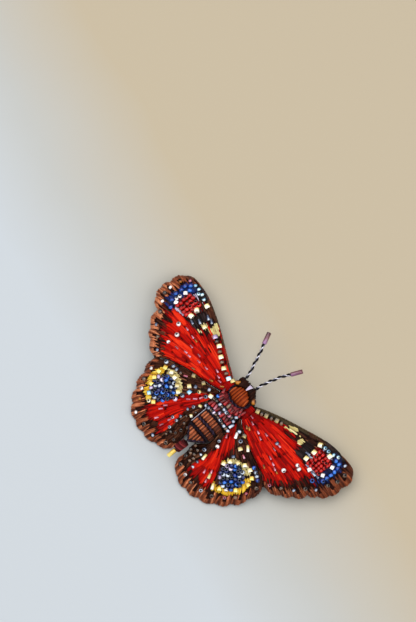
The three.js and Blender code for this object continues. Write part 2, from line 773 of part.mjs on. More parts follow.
function addPin() {
  const plate = new THREE.Shape();
  const straight = (BAR_LENGTH - BAR_WIDTH) / 2;
  plate.absarc(straight, PIN_Y, BAR_WIDTH / 2, -Math.PI / 2, Math.PI / 2, false);
  plate.absarc(-straight, PIN_Y, BAR_WIDTH / 2, Math.PI / 2, 1.5 * Math.PI, false);
  for (const x of [-SEWING_HOLE_X, SEWING_HOLE_X]) {
    const hole = new THREE.Path();
    hole.absarc(x, PIN_Y, SEWING_HOLE_R, 0, 2 * Math.PI, true);
    plate.holes.push(hole);
  }
  const flat = new THREE.ExtrudeGeometry(plate, {
    depth: BAR_HIGH - BAR_LOW,
    bevelEnabled: false,
    curveSegments: 8,
  }).translate(0, 0, BAR_LOW);
  const parts = [flat];
  for (const side of [-1, 1]) {
    const walls = [EAR_INNER, EAR_INNER + EAR_THICK].map((v) => PIN_Y + side * v);
    const [near, far] = [Math.min(...walls), Math.max(...walls)];
    for (const x of [AXLE_X, CATCH_X]) {
      parts.push(boxBetween([x - EAR_HALF_LENGTH, near, 0], [x + EAR_HALF_LENGTH, far, WALL_TOP]));
    }
  }
  parts.push(new THREE.CylinderGeometry(AXLE_R, AXLE_R, 2 * (EAR_INNER + 0.3), 10)
    .translate(AXLE_X, PIN_Y, AXLE_Z));
  addNode('pin_bar', toShape(fuse(parts)), STEEL, 0.3, 0.9);
}

function addStem() {
  const ring = new THREE.LatheGeometry([
    new THREE.Vector2(KNUCKLE_HOLE_R, -KNUCKLE_WIDTH / 2),
    new THREE.Vector2(KNUCKLE_R, -KNUCKLE_WIDTH / 2),
    new THREE.Vector2(KNUCKLE_R, KNUCKLE_WIDTH / 2),
    new THREE.Vector2(KNUCKLE_HOLE_R, KNUCKLE_WIDTH / 2),
    new THREE.Vector2(KNUCKLE_HOLE_R, -KNUCKLE_WIDTH / 2),
  ], 14).translate(AXLE_X, PIN_Y, AXLE_Z);
  const needle = new THREE.LatheGeometry([
    new THREE.Vector2(0, STEM_START),
    new THREE.Vector2(STEM_R, STEM_START),
    new THREE.Vector2(STEM_R, STEM_REACH - STEM_POINT),
    new THREE.Vector2(0, STEM_REACH),
  ], 8).rotateZ(-Math.PI / 2).translate(AXLE_X, PIN_Y, AXLE_Z);
  addNode('pin_stem', toShape(fuse([ring, needle])), STEEL, 0.25, 0.95);
}
addPin();
addStem();

// The origin is below the middle of the whole brooch, on the table
const extent = new THREE.Box3().setFromObject(brooch);
const centre = extent.getCenter(new THREE.Vector3());
brooch.position.set(-centre.x, -centre.y, -extent.min.z);

const part = new THREE.Group();
part.add(brooch);
export default part;
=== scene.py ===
# %% [markdown]
# # An embroidered, beaded butterfly brooch
# A hand-made brooch in the shape of a peacock butterfly, about 82 mm across the wings. Satin stitches
# of red floss fill the wings, copper thread wraps the scalloped borders, glass beads make the
# eyespots, and two twisted wires make the antennae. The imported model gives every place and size, and
# this script dresses it thread by thread and bead by bead.

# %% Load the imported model
import itertools
import math
import random

import bmesh
import bpy
import numpy as np
from mathutils import Matrix, Vector


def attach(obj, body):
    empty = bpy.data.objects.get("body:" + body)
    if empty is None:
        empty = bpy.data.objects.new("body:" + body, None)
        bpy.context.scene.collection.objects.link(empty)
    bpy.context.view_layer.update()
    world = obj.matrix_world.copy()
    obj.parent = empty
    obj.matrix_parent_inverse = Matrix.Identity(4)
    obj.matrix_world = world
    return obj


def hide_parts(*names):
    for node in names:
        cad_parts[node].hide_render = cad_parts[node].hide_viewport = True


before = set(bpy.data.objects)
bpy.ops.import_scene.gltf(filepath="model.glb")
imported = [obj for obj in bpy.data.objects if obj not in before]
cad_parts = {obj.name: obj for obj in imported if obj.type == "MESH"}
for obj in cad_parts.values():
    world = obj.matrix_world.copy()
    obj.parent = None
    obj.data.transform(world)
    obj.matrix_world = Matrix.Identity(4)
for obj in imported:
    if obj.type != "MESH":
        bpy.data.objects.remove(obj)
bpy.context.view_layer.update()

print("nodes of the packed model:", len(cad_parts))

# %% [markdown]
# Everything is measured in millimetres from the middle of the butterfly, as one would with a ruler:
# +Y to the head, +X to the right wings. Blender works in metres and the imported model's origin is below
# the middle of its box, so every piece is moved and scaled once, when its mesh is made. All chance comes
# from one source with a fixed start, so that every run sews the same brooch.

# %% Units and small helpers
MM = 0.001
TO_MODEL = np.array([-0.08, 1.6372, 0.0])
chance = random.Random(11)


def mix(a, b, t):
    return a + (b - a) * t


def clamp01(t):
    return min(1.0, max(0.0, t))


def smooth(start, end, value):
    t = clamp01((value - start) / (end - start))
    return t * t * (3 - 2 * t)


def to_metres(points):
    return (np.asarray(points, float) + TO_MODEL) * MM


print("the middle of the butterfly lies in the model at", to_metres((0, 0, 0)))

# %% [markdown]
# The camera looks as the photograph does: from above the table, leaning a little over the brooch, which
# lies turned about 50 degrees in the picture. The lens is long and far off, so that the near wing isn't
# drawn larger than the far one.

# %% Camera
PICTURE_RIGHT = Vector((0.645, 0.764, 0)).normalized()
PICTURE_UP = Vector((-0.764, 0.645, 0)).normalized()
LOOK_AT = Vector((-26.98, 14.03, 0))  # the place on the table in the middle of the picture
CAMERA_TILT = math.radians(80)
CAMERA_DISTANCE = 2400
SENSOR = 36
NEAREST_SEEN = 0.01
PICTURE_HEIGHT = 622
PICTURE_SCALE = 3.29  # picture points for each millimetre of the brooch


def add_camera():
    forward = PICTURE_UP * math.cos(CAMERA_TILT) - Vector((0, 0, 1)) * math.sin(CAMERA_TILT)
    up = PICTURE_UP * math.sin(CAMERA_TILT) + Vector((0, 0, 1)) * math.cos(CAMERA_TILT)
    data = bpy.data.cameras.new("camera")
    data.lens = PICTURE_SCALE * CAMERA_DISTANCE * SENSOR / PICTURE_HEIGHT
    data.sensor_width = SENSOR
    data.clip_start = NEAREST_SEEN
    camera = bpy.data.objects.new("camera", data)
    bpy.context.scene.collection.objects.link(camera)
    turn = Matrix((PICTURE_RIGHT, up, -forward)).transposed().to_4x4()
    spot = Vector(to_metres(LOOK_AT - forward * CAMERA_DISTANCE))
    camera.matrix_world = Matrix.Translation(spot) @ turn
    bpy.context.scene.camera = camera
    return camera


camera = add_camera()
print("camera at", [round(v, 3) for v in camera.matrix_world.translation])

# %% [markdown]
# Each finish is a small network of nodes. Writing the maths as Python expressions keeps the recipe
# readable: a Value wraps a socket, and adding or multiplying Values adds the Math nodes. One method
# makes every other kind of node, so all finishes are written in the same few words.

# %% Words for finishes
class Value:
    def __init__(self, finish, socket):
        self.finish = finish
        self.socket = socket

    def math(self, operation, first, second):
        return self.finish.node("ShaderNodeMath", {"operation": operation}, {0: first, 1: second})

    def __add__(self, other):
        return self.math("ADD", self, other)

    def __radd__(self, other):
        return self.math("ADD", other, self)

    def __sub__(self, other):
        return self.math("SUBTRACT", self, other)

    def __rsub__(self, other):
        return self.math("SUBTRACT", other, self)

    def __mul__(self, other):
        return self.math("MULTIPLY", self, other)

    def __rmul__(self, other):
        return self.math("MULTIPLY", other, self)


class Finish:
    def __init__(self, name):
        self.material = bpy.data.materials.new(name)
        self.material.use_nodes = True
        self.tree = self.material.node_tree
        self.tree.nodes.clear()

    def node(self, kind, settings, inputs, output=0):
        node = self.tree.nodes.new(kind)
        for key, value in settings.items():
            if key == "stops":
                while len(node.color_ramp.elements) < len(value):
                    node.color_ramp.elements.new(0.5)
                for element, (position, colour) in zip(node.color_ramp.elements, value):
                    element.position = position
                    element.color = colour
            else:
                setattr(node, key, value)
        for key, value in inputs.items():
            if isinstance(value, Value):
                self.tree.links.new(value.socket, node.inputs[key])
            else:
                node.inputs[key].default_value = value
        return Value(self, node.outputs[output])

    def attribute(self, name):
        return self.node("ShaderNodeAttribute", {"attribute_name": name}, {}, "Fac")

    def place(self):
        return self.node("ShaderNodeTexCoord", {}, {}, "Object")

    def vector(self, x, y, z):
        return self.node("ShaderNodeCombineXYZ", {}, {0: x, 1: y, 2: z})

    def noise(self, vector, scale, detail=2.0, roughness=0.5):
        inputs = {"Vector": vector, "Scale": scale, "Detail": detail, "Roughness": roughness}
        return self.node("ShaderNodeTexNoise", {}, inputs, "Fac")

    def ramp(self, value, stops):
        return self.node("ShaderNodeValToRGB", {"stops": stops}, {"Fac": value}, "Color")

    def blend(self, factor, first, second, how="MIX"):
        settings = {"data_type": "RGBA", "blend_type": how}
        return self.node("ShaderNodeMix", settings, {0: factor, 6: first, 7: second}, 2)

    def bump(self, height, strength, distance):
        inputs = {"Height": height, "Strength": strength, "Distance": distance}
        return self.node("ShaderNodeBump", {}, inputs, "Normal")

    def surface(self, inputs):
        shader = self.node("ShaderNodeBsdfPrincipled", {}, inputs, "BSDF")
        output = self.tree.nodes.new("ShaderNodeOutputMaterial")
        self.tree.links.new(shader.socket, output.inputs["Surface"])
        return self.material


def rgb(red, green, blue):
    """A colour as a screen shows it, from 0 to 255, made linear for the nodes."""
    linear = [(c / 255 / 12.92) if c <= 10 else ((c / 255 + 0.055) / 1.055) ** 2.4
              for c in (red, green, blue)]
    return (*linear, 1.0)


print("middle grey as the nodes see it:", [round(part, 3) for part in rgb(128, 128, 128)])

# %% [markdown]
# Silk floss is a flat bundle of fine filaments. Light slides along it, so a stitch shows streaks that
# run its whole length, is brightest on its crown and goes dark where it dives into the felt; that dark
# is painted shade, put into the colour at both ends of every strand. Every strand carries three numbers
# for this: how far along it a point is, where round it, and its own tint.

# %% Floss, thread and cord finishes
FULL = (1, 1, 1, 1)
PAINTED_END_SHADE = (0.25, 0.25, 0.25, 1)
FILAMENTS = 9.0  # spots of noise round a strand
STREAKS = 1.3  # spots of noise along it, so few that they come out as streaks
OWN_STREAKS = 37.0  # moves the noise with the tint, so that no two strands look the same


def thread_finish(name, stops, roughness, metallic=0.0, bump=0.5, gloss=0.2):
    finish = Finish(name)
    along = finish.attribute("along")
    around = finish.attribute("around")
    tint = finish.attribute("tint")
    spot = finish.vector(around * FILAMENTS, along * STREAKS, tint * OWN_STREAKS)
    grain = finish.noise(spot, 1.0, 2.5, 0.6)
    shade = tint * 0.62 + grain * 0.62 - 0.12
    # painted shade: the colour is darkened at both ends of a strand, where it dives between the others
    ends = finish.ramp(along, [(0.0, PAINTED_END_SHADE), (0.1, FULL), (0.9, FULL), (1.0, PAINTED_END_SHADE)])
    colour = finish.ramp(shade, [(share, rgb(*shown)) for share, shown in stops])
    return finish.surface({
        "Base Color": finish.blend(1.0, colour, ends, "MULTIPLY"),
        "Roughness": grain * 0.25 + (roughness - 0.12),
        "Metallic": metallic,
        "Specular IOR Level": gloss,
        "Normal": finish.bump(grain, bump, 0.0002),
    })


# Each look: a name, colours from the darkest strand to the brightest, the roughness, and what is special.
THREAD_LOOKS = {
    "red": ("red_floss", [(0.0, (60, 0, 0)), (0.34, (130, 2, 0)), (0.62, (180, 12, 1)),
                          (0.85, (216, 48, 14)), (1.0, (238, 108, 66))], 0.45, {"gloss": 0.06}),
    "deep": ("deep_red_floss", [(0.0, (46, 0, 0)), (0.5, (110, 2, 1)), (1.0, (166, 10, 4))],
             0.5, {"gloss": 0.08}),
    "copper": ("copper_thread", [(0.0, (30, 11, 6)), (0.35, (96, 44, 24)), (0.65, (168, 88, 52)),
                                 (1.0, (236, 158, 112))], 0.36, {"metallic": 0.35, "bump": 0.8}),
    "russet": ("russet_thread", [(0.0, (44, 8, 1)), (0.4, (112, 34, 6)), (0.7, (158, 66, 20)),
                                 (1.0, (206, 112, 56))],
               0.4, {"metallic": 0.25, "bump": 0.8, "gloss": 0.12}),
    "dark": ("dark_thread", [(0.0, (6, 2, 1)), (0.4, (33, 13, 7)), (0.7, (78, 40, 24)),
                             (1.0, (146, 100, 70))], 0.5, {"metallic": 0.1, "gloss": 0.08}),
    "black": ("black_thread", [(0.0, (3, 2, 2)), (0.5, (22, 11, 10)), (1.0, (84, 62, 64))],
              0.45, {"gloss": 0.12}),
    "olive": ("olive_edging_thread", [(0.0, (14, 10, 4)), (0.5, (46, 36, 20)), (1.0, (92, 76, 50))],
              0.5, {"gloss": 0.12}),
    "cream": ("cream_floss", [(0.0, (128, 104, 50)), (0.5, (198, 182, 118)), (1.0, (240, 232, 190))],
              0.4, {}),
    "yellow": ("yellow_floss", [(0.0, (134, 84, 4)), (0.5, (216, 168, 24)), (1.0, (250, 228, 116))],
               0.38, {}),
    "lilac": ("lilac_floss", [(0.0, (96, 82, 108)), (0.5, (168, 154, 178)), (1.0, (230, 222, 236))],
              0.36, {}),
    "navy": ("navy_thread", [(0.0, (2, 3, 14)), (0.5, (8, 18, 62)), (1.0, (30, 62, 150))], 0.4, {}),
    "purple": ("purple_black_cord", [(0.0, (5, 3, 8)), (0.5, (24, 14, 26)), (1.0, (70, 54, 76))],
               0.4, {"gloss": 0.12}),
    "maroon": ("maroon_thread", [(0.0, (26, 2, 4)), (0.5, (82, 12, 14)), (1.0, (156, 62, 62))],
               0.4, {"gloss": 0.12}),
}
THREADS = {}
for thread, (look, stops, roughness, special) in THREAD_LOOKS.items():
    THREADS[thread] = thread_finish(look, stops, roughness, **special)
print("thread finishes:", len(THREADS))

# %% [markdown]
# A seed bead is cut from a drawn glass cane, so it is a short tube with round shoulders. Light that
# enters it gathers on the side away from the window, which is why one side looks deep and the other
# glows. That is painted light here: each bead carries a number that paints one side of its shape darker
# and the other brighter, and another that paints its hole dark as painted shade. A sharp clear coat gives
# the highlight, and beads with a silver lining are partly metallic, so that they flash.

# %% Glass, metal and felt finishes
HOLE_SHADE = (0.04, 0.03, 0.03, 1)


def glass_finish(name, shadow, body, glow, roughness=0.08, metallic=0.0, coat=0.6, gloss=0.5):
    finish = Finish(name)
    tint = finish.attribute("tint")
    lit = finish.attribute("lit")
    waves = finish.noise(finish.vector(finish.attribute("around") * 2.0, tint * 19.0, 0.0), 1.5, 1.0)
    # painted light and shade: lit paints each bead brighter on one side of its shape, and rim paints its
    # hole dark
    shade = lit * 0.72 + tint * 0.34 + waves * 0.3 - 0.2
    hole = finish.ramp(finish.attribute("rim"), [(0.42, HOLE_SHADE), (0.78, FULL)])
    colour = finish.ramp(shade, [(0.1, rgb(*shadow)), (0.48, rgb(*body)), (0.86, rgb(*glow))])
    return finish.surface({
        "Base Color": finish.blend(1.0, colour, hole, "MULTIPLY"),
        "Roughness": waves * 0.1 + roughness,
        "Metallic": metallic,
        "Specular IOR Level": gloss,
        "Coat Weight": coat,
        "Coat Roughness": 0.03,
    })


# Each look: the glass in painted shade, its own colour, the painted light where the light gathers, and what
# is special.
GLASS_LOOKS = {
    "pearl": ((140, 130, 128), (218, 212, 210), (255, 255, 255), {"roughness": 0.14}),
    "silver": ((6, 8, 20), (50, 66, 98), (222, 234, 248), {"roughness": 0.1, "metallic": 0.3}),
    "blue": ((0, 4, 44), (2, 34, 126), (48, 124, 220), {"coat": 0.35}),
    "sky": ((34, 74, 112), (112, 172, 204), (226, 248, 250), {"metallic": 0.2}),
    "ink": ((0, 1, 3), (3, 4, 14), (34, 46, 104), {"roughness": 0.05, "coat": 0.3}),
    "lilac": ((70, 54, 86), (156, 134, 172), (244, 232, 252), {"roughness": 0.1, "metallic": 0.2}),
    "cream": ((96, 68, 14), (206, 184, 108), (255, 250, 228), {"roughness": 0.1, "metallic": 0.1}),
    "straw": ((40, 28, 6), (106, 84, 30), (204, 182, 108), {"roughness": 0.1, "metallic": 0.1}),
    "gold": ((110, 70, 6), (206, 162, 40), (255, 240, 140), {"roughness": 0.1, "metallic": 0.3}),
    "amber": ((44, 16, 2), (112, 56, 6), (188, 118, 30), {"roughness": 0.15, "coat": 0.3, "gloss": 0.3}),
    "garnet": ((26, 0, 1), (88, 3, 6), (170, 36, 38), {"roughness": 0.2, "coat": 0.2, "gloss": 0.25}),
    "ruby": ((70, 0, 0), (138, 3, 2), (202, 30, 20), {"roughness": 0.2, "coat": 0.25, "gloss": 0.25}),
    "rose": ((76, 3, 10), (150, 48, 68), (224, 158, 182), {"roughness": 0.1, "metallic": 0.1}),
    "coffee": ((5, 3, 2), (30, 16, 10), (122, 88, 62), {"roughness": 0.06}),
    "plum": ((44, 6, 14), (96, 32, 50), (156, 116, 166), {"roughness": 0.06, "metallic": 0.1}),
}
GLASS = {}
for colour, (shadow, body, glow, special) in GLASS_LOOKS.items():
    look = "silver_lined_glass" if colour == "silver" else f"{colour}_glass"
    GLASS[colour] = glass_finish(look, shadow, body, glow, **special)
print("glass finishes:", len(GLASS))


def felt_finish():
    finish = Finish("black_felt")
    fuzz = finish.noise(finish.place(), 2600.0, 4.0, 0.7)
    clouds = finish.noise(finish.place(), 260.0, 2.0)
    return finish.surface({
        "Base Color": finish.ramp(fuzz * 0.7 + clouds * 0.3, [(0.2, rgb(8, 6, 6)), (0.8, rgb(42, 36, 34))]),
        "Roughness": 0.95,
        "Specular IOR Level": 0.1,
        "Sheen Weight": 0.15,
        "Normal": finish.bump(fuzz, 0.9, 0.0003),
    })


def ground_finish():
    """The dark cloth under the stitches: a fine weave of brown and maroon thread."""
    finish = Finish("ground_cloth")
    place = finish.place()
    weave = finish.node("ShaderNodeTexWave", {"bands_direction": "X"}, {
        "Vector": place, "Scale": 700.0, "Distortion": 6.0, "Detail": 2.0}, "Fac")
    spots = finish.noise(place, 500.0, 3.0)
    return finish.surface({
        "Base Color": finish.ramp(weave * 0.4 + spots * 0.6, [(0.2, rgb(8, 3, 2)), (0.8, rgb(52, 20, 14))]),
        "Roughness": 0.8,
        "Specular IOR Level": 0.1,
        "Normal": finish.bump(weave, 0.8, 0.0002),
    })


def metal_finish(name, dark, light, roughness):
    finish = Finish(name)
    scratches = finish.noise(finish.node("ShaderNodeMapping", {}, {
        "Vector": finish.place(), "Scale": (300.0, 3000.0, 3000.0)}), 1.0, 3.0)
    return finish.surface({
        "Base Color": finish.ramp(scratches, [(0.3, dark), (0.7, light)]),
        "Metallic": 1.0,
        "Roughness": scratches * 0.25 + (roughness - 0.1),
        "Normal": finish.bump(scratches, 0.15, 0.0001),
    })


FELT = felt_finish()
GROUND = ground_finish()
STEEL = metal_finish("pin_steel", rgb(150, 150, 152), rgb(214, 214, 216), 0.3)
WIRE_SILVER = metal_finish("silver_wire", rgb(150, 148, 162), rgb(226, 224, 234), 0.28)
WIRE_BLACK = metal_finish("black_wire", rgb(12, 12, 14), rgb(44, 42, 46), 0.35)
print("finishes:", len(bpy.data.materials))

# %% [markdown]
# A finished piece is one mesh at the origin. It rides on a body of the imported model, and may stand for
# one of its plain nodes, which is then hidden. The calls go together, so one helper does them.

# %% Putting a piece on the model
def put(name, mesh, finish, replaced=(), smooth_faces=True):
    if smooth_faces:
        mesh.shade_smooth()
    mesh.materials.append(finish)
    piece = bpy.data.objects.new(name, mesh)
    bpy.context.scene.collection.objects.link(piece)
    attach(piece, "brooch")
    if replaced:
        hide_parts(*replaced)
    return piece


def finished(bm, name):
    """Turns a bmesh into a mesh and lets go of it."""
    mesh = bpy.data.meshes.new(name)
    bm.to_mesh(mesh)
    bm.free()
    return mesh


def mesh_in_metres(bm, name):
    """A mesh of the model, from a bmesh made in millimetres, with its faces turned outwards."""
    bmesh.ops.recalc_face_normals(bm, faces=bm.faces[:])
    bmesh.ops.translate(bm, verts=bm.verts[:], vec=Vector(TO_MODEL))
    bmesh.ops.scale(bm, verts=bm.verts[:], vec=(MM, MM, MM))
    return finished(bm, name)


print("a millimetre of thread is", MM, "metres of the model")

# %% [markdown]
# Hundreds of strands share one template: a tube of unit size, six-sided for thread and rounder for wire,
# made by a cone operator with two equal ends and cut across by subdivision. Each copy is then laid along
# its own path. Copying a small mesh and moving its points is far quicker than sweeping a curve for every
# stitch.

# %% One strand, copied and laid along paths
STRAND_RINGS = 8  # points along a strand; cords have more
TAPER = 0.15  # share of its length over which a strand's end grows thin
templates = {}


def strand_template(rings, sides):
    key = (rings, sides)
    if key not in templates:
        bm = bmesh.new()
        bmesh.ops.create_cone(bm, cap_ends=True, segments=sides, radius1=1, radius2=1, depth=1)
        uprights = [e for e in bm.edges if abs(e.verts[0].co.z - e.verts[1].co.z) > 0.5]
        bmesh.ops.subdivide_edges(bm, edges=uprights, cuts=rings - 2)
        mesh = finished(bm, "strand")
        templates[key] = (mesh, np.array([v.co[:] for v in mesh.vertices]))
    return templates[key]


def unit_rows(rows):
    """Vectors, one in each row, made one unit long."""
    return rows / (np.linalg.norm(rows, axis=1)[:, None] + 1e-9)


def side_and_up(tangent, forward):
    """Unit vectors beside a path, level and square to forward, and above it."""
    side = unit_rows(np.stack([-forward[:, 1], forward[:, 0], np.zeros(len(forward))], axis=1))
    return side, unit_rows(np.cross(tangent, side))


def lie(points, cross, width, height, end_scale):
    """Lays the template's points along a path, with its flat side up."""
    points = np.asarray(points, float)
    tangent = np.gradient(points, axis=0)
    chord = points[-1] - points[0]
    side, up = side_and_up(tangent, tangent * (1, 1, 0) + chord * (0.05, 0.05, 0))
    along = cross[:, 2] + 0.5
    ring = np.rint(along * (len(points) - 1)).astype(int)
    near_end = np.clip(np.minimum(along, 1 - along) / TAPER, 0, 1)
    size = end_scale + (1 - end_scale) * near_end * (2 - near_end)
    across = (cross[:, 0] * width / 2 * size)[:, None]
    above = (cross[:, 1] * height / 2 * size)[:, None]
    return points[ring] + side[ring] * across + up[ring] * above


def copies(template, count):
    """One mesh with count copies of a small mesh, their points in order."""
    bm = bmesh.new()
    for _ in range(count):
        bm.from_mesh(template)
    return finished(bm, "copies")


def give(mesh, name, values):
    attribute = mesh.attributes.new(name, "FLOAT", "POINT")
    attribute.data.foreach_set("value", np.asarray(values, np.float32))


def around_axis(points):
    """Where round the Z axis each point is, from 0 to 1."""
    return np.arctan2(points[:, 1], points[:, 0]) / (2 * math.pi) + 0.5


def lay_strands(name, runs, finish, sides=6, end_scale=0.5, replaced=()):
    """runs is a list of (path points, width, height, tint), whose paths have equally many points."""
    template, cross = strand_template(len(runs[0][0]), sides)
    mesh = copies(template, len(runs))
    places = [lie(points, cross, width, height, end_scale) for points, width, height, _ in runs]
    mesh.vertices.foreach_set("co", to_metres(np.concatenate(places)).ravel())
    give(mesh, "along", np.tile(cross[:, 2] + 0.5, len(runs)))
    give(mesh, "around", np.tile(around_axis(cross), len(runs)))
    give(mesh, "tint", np.repeat([tint for *_, tint in runs], len(cross)))
    mesh.name = name
    mesh.update()
    print(f"{name}: {len(runs)} strands, {len(mesh.polygons)} faces")
    return put(name, mesh, finish, replaced)


print("a strand has", len(strand_template(STRAND_RINGS, 6)[0].polygons), "faces")

# %% [markdown]
# Three kinds of bead were used: round seed beads with soft shoulders, square-cut beads with flat bright
# sides, and short bugle tubes. Each is a small closed profile spun round the thread's hole. The square
# one is spun in twelve steps and its sides are pushed out flat, which leaves the corners cut.

# %% Bead templates
BEAD_PROFILES = {
    "round": (8, [(0.2, -0.26), (0.35, -0.36), (0.5, -0.17), (0.5, 0.17), (0.35, 0.36), (0.2, 0.26)]),
    "square": (12, [(0.2, -0.38), (0.44, -0.44), (0.5, -0.38), (0.5, 0.38), (0.44, 0.44), (0.2, 0.38)]),
    "tube": (8, [(0.28, -0.46), (0.44, -0.5), (0.5, -0.46), (0.5, 0.46), (0.44, 0.5), (0.28, 0.46)]),
}


def bead_template(kind):
    if kind not in templates:
        steps, profile = BEAD_PROFILES[kind]
        bm = bmesh.new()
        points = [bm.verts.new((radius, 0, z)) for radius, z in profile]
        rims = [bm.edges.new((a, b)) for a, b in zip(points, points[1:] + points[:1])]
        bmesh.ops.spin(bm, geom=points + rims, cent=(0, 0, 0), axis=(0, 0, 1),
                       angle=2 * math.pi, steps=steps, use_merge=True)
        bmesh.ops.remove_doubles(bm, verts=bm.verts[:], dist=1e-5)
        if kind == "square":
            for v in bm.verts:
                longer = max(abs(v.co.x), abs(v.co.y))
                radius = math.hypot(v.co.x, v.co.y)
                v.co.x *= radius / longer
                v.co.y *= radius / longer
        bmesh.ops.recalc_face_normals(bm, faces=bm.faces[:])
        mesh = finished(bm, kind)
        if kind != "square":
            mesh.shade_smooth()
        templates[kind] = (mesh, np.array([v.co[:] for v in mesh.vertices]))
    return templates[kind]


for kind in BEAD_PROFILES:
    print(kind, "bead:", len(bead_template(kind)[0].polygons), "faces")

# %% [markdown]
# Most sewn beads lie with the hole along the thread, so that the axis is nearly level. The helper takes
# each bead's kind, centre, direction of the hole, width and length, and makes one piece of all beads of
# one colour on one wing. Grouping by colour keeps every finish on its own piece.

# %% Laying beads
# painted light: a bead's colour is painted brighter on the side of its shape that faces this way
PAINTED_GLOW_SIDE = np.array((0.74, -0.6, 0.3))


def bead_axis(turn, lean):
    level = math.cos(lean)
    return Vector((level * math.cos(turn), level * math.sin(turn), math.sin(lean)))


def lay_beads(name, beads, finish, replaced=()):
    """beads is a list of (kind, centre, axis, width, length)."""
    joined = bmesh.new()
    numbers = {"tint": [], "around": [], "lit": [], "rim": []}
    for kind in BEAD_PROFILES:
        chosen = [bead for bead in beads if bead[0] == kind]
        if not chosen:
            continue
        template, points = bead_template(kind)
        mesh = copies(template, len(chosen))
        places = []
        for _, centre, axis, width, length in chosen:
            turn = np.array(axis.to_track_quat("Z", "Y").to_matrix())
            shape = (points * (width, width, length)) @ turn.T
            places.append(shape + np.array(centre))
            numbers["tint"] += [chance.random()] * len(points)  # one tint for the whole bead
            numbers["around"] += list(around_axis(points))
            numbers["lit"] += list(shape @ PAINTED_GLOW_SIDE / max(width, length) + 0.5)
            numbers["rim"] += list(np.hypot(points[:, 0], points[:, 1]) * 2)
        mesh.vertices.foreach_set("co", to_metres(np.concatenate(places)).ravel())
        joined.from_mesh(mesh)
        bpy.data.meshes.remove(mesh)
    mesh = finished(joined, name)
    for number, values in numbers.items():
        give(mesh, number, values)
    print(f"{name}: {len(beads)} beads, {len(mesh.polygons)} faces")
    return put(name, mesh, finish, replaced, smooth_faces=False)


print("a bead glows on the side that faces", PAINTED_GLOW_SIDE)

# %% [markdown]
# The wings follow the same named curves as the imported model: a front edge, notches between the scallops
# of the outer edge, and a back edge. A place on a wing is given by two shares: s from the root to the
# outer edge, and w from the front edge to the back edge. Stitches run along s, as the real ones do.

# %% Wing outlines
GAP = 0.35  # between two pieces that were sewn side by side
SCALLOP = 0.15  # how far a scallop swells out, as a share of its width
SCALLOP_BLUNTNESS = 0.8
WINGS = {
    "forewing_left": {
        "front": [(-4.95, 5.5), (-12, 9), (-20, 12.9), (-28, 15.9), (-34.5, 16.8)],
        "notches": [(-34.5, 16.8), (-39.2, 15), (-40.4, 10.6), (-40.8, 7.2), (-39.8, 4.6),
                    (-36.3, 2.4), (-33.2, -3), (-30.8, -5.2), (-25.7, -7.5)],
        "back": [(-4.95, 0.6), (-9, -0.6), (-16, -2.4), (-22, -4.8), (-25.7, -7.5)],
    },
    "forewing_right": {
        "front": [(5.3, 5.2), (12, 8.9), (20, 12.2), (28, 15), (36, 15.7)],
        "notches": [(36, 15.7), (40.4, 14.1), (40.7, 9.3), (40.3, 5), (38, 2.2),
                    (35.9, 0.2), (33.2, -3.6), (30.9, -5.9), (25.3, -7.9)],
        "back": [(5.3, 0), (9, -2), (16, -4.4), (22, -6), (25.3, -7.9)],
    },
    "hindwing_left": {
        "notches": [(-25.5, -8.1), (-24.3, -13), (-22.4, -17.8), (-19.9, -21.4), (-15.2, -24.1),
                    (-11, -24.7), (-6.3, -24), (-1.8, -21.3)],
        "back": [(-4.95, -6.4), (-3.75, -7.7), (-3.7, -12.8), (-2, -16.8), (-1.8, -21.3)],
    },
    "hindwing_right": {
        "notches": [(25.1, -8.4), (24.9, -14.3), (22.6, -18.9), (19.4, -22.3), (15, -25),
                    (10.6, -26), (6.4, -25.7), (1.9, -21.6)],
        "back": [(6.3, -6.6), (4.8, -7.7), (4.75, -12.8), (2.5, -16.8), (1.9, -21.6)],
    },
}


def spline(points, t):
    """A smooth curve through the points, evenly shared between them."""
    last = len(points) - 1
    at = clamp01(t) * last
    k = min(int(at), last - 1)
    u = at - k
    p0, p1, p2, p3 = (points[min(max(k + step, 0), last)] for step in (-1, 0, 1, 2))
    result = []
    for c in (0, 1):
        v0 = (p2[c] - p0[c]) / 2
        v1 = (p3[c] - p1[c]) / 2
        result.append((2 * p1[c] - 2 * p2[c] + v0 + v1) * u ** 3
                      + (3 * p2[c] - 3 * p1[c] - 2 * v0 - v1) * u ** 2 + v0 * u + p1[c])
    return result


def heading(points, t):
    (ax, ay), (bx, by) = spline(points, t - 0.01), spline(points, t + 0.01)
    return math.atan2(by - ay, bx - ax)


def set_back(edge, t, distance):
    """A place on an edge, moved square to it towards the tail."""
    x, y = spline(edge, t)
    turn = heading(edge, t)
    tailwards = turn - math.pi / 2 if math.cos(turn) > 0 else turn + math.pi / 2
    return x + distance * math.cos(tailwards), y + distance * math.sin(tailwards)


for side in ("left", "right"):
    fore, hind = WINGS[f"forewing_{side}"], WINGS[f"hindwing_{side}"]
    hind["front"] = [set_back(fore["back"], t, GAP) for t in (0, 0.25, 0.5, 0.75)] + hind["notches"][:1]


def scalloped_edge(notches, w):
    lobe = min(int(w * (len(notches) - 1)), len(notches) - 2)
    t = w * (len(notches) - 1) - lobe
    (ax, ay), (bx, by) = notches[lobe], notches[lobe + 1]
    out = SCALLOP * math.sin(math.pi * clamp01(t)) ** SCALLOP_BLUNTNESS
    side = math.copysign(1, ax * by - ay * bx)
    return (mix(ax, bx, t) + side * out * (by - ay), mix(ay, by, t) - side * out * (bx - ax))


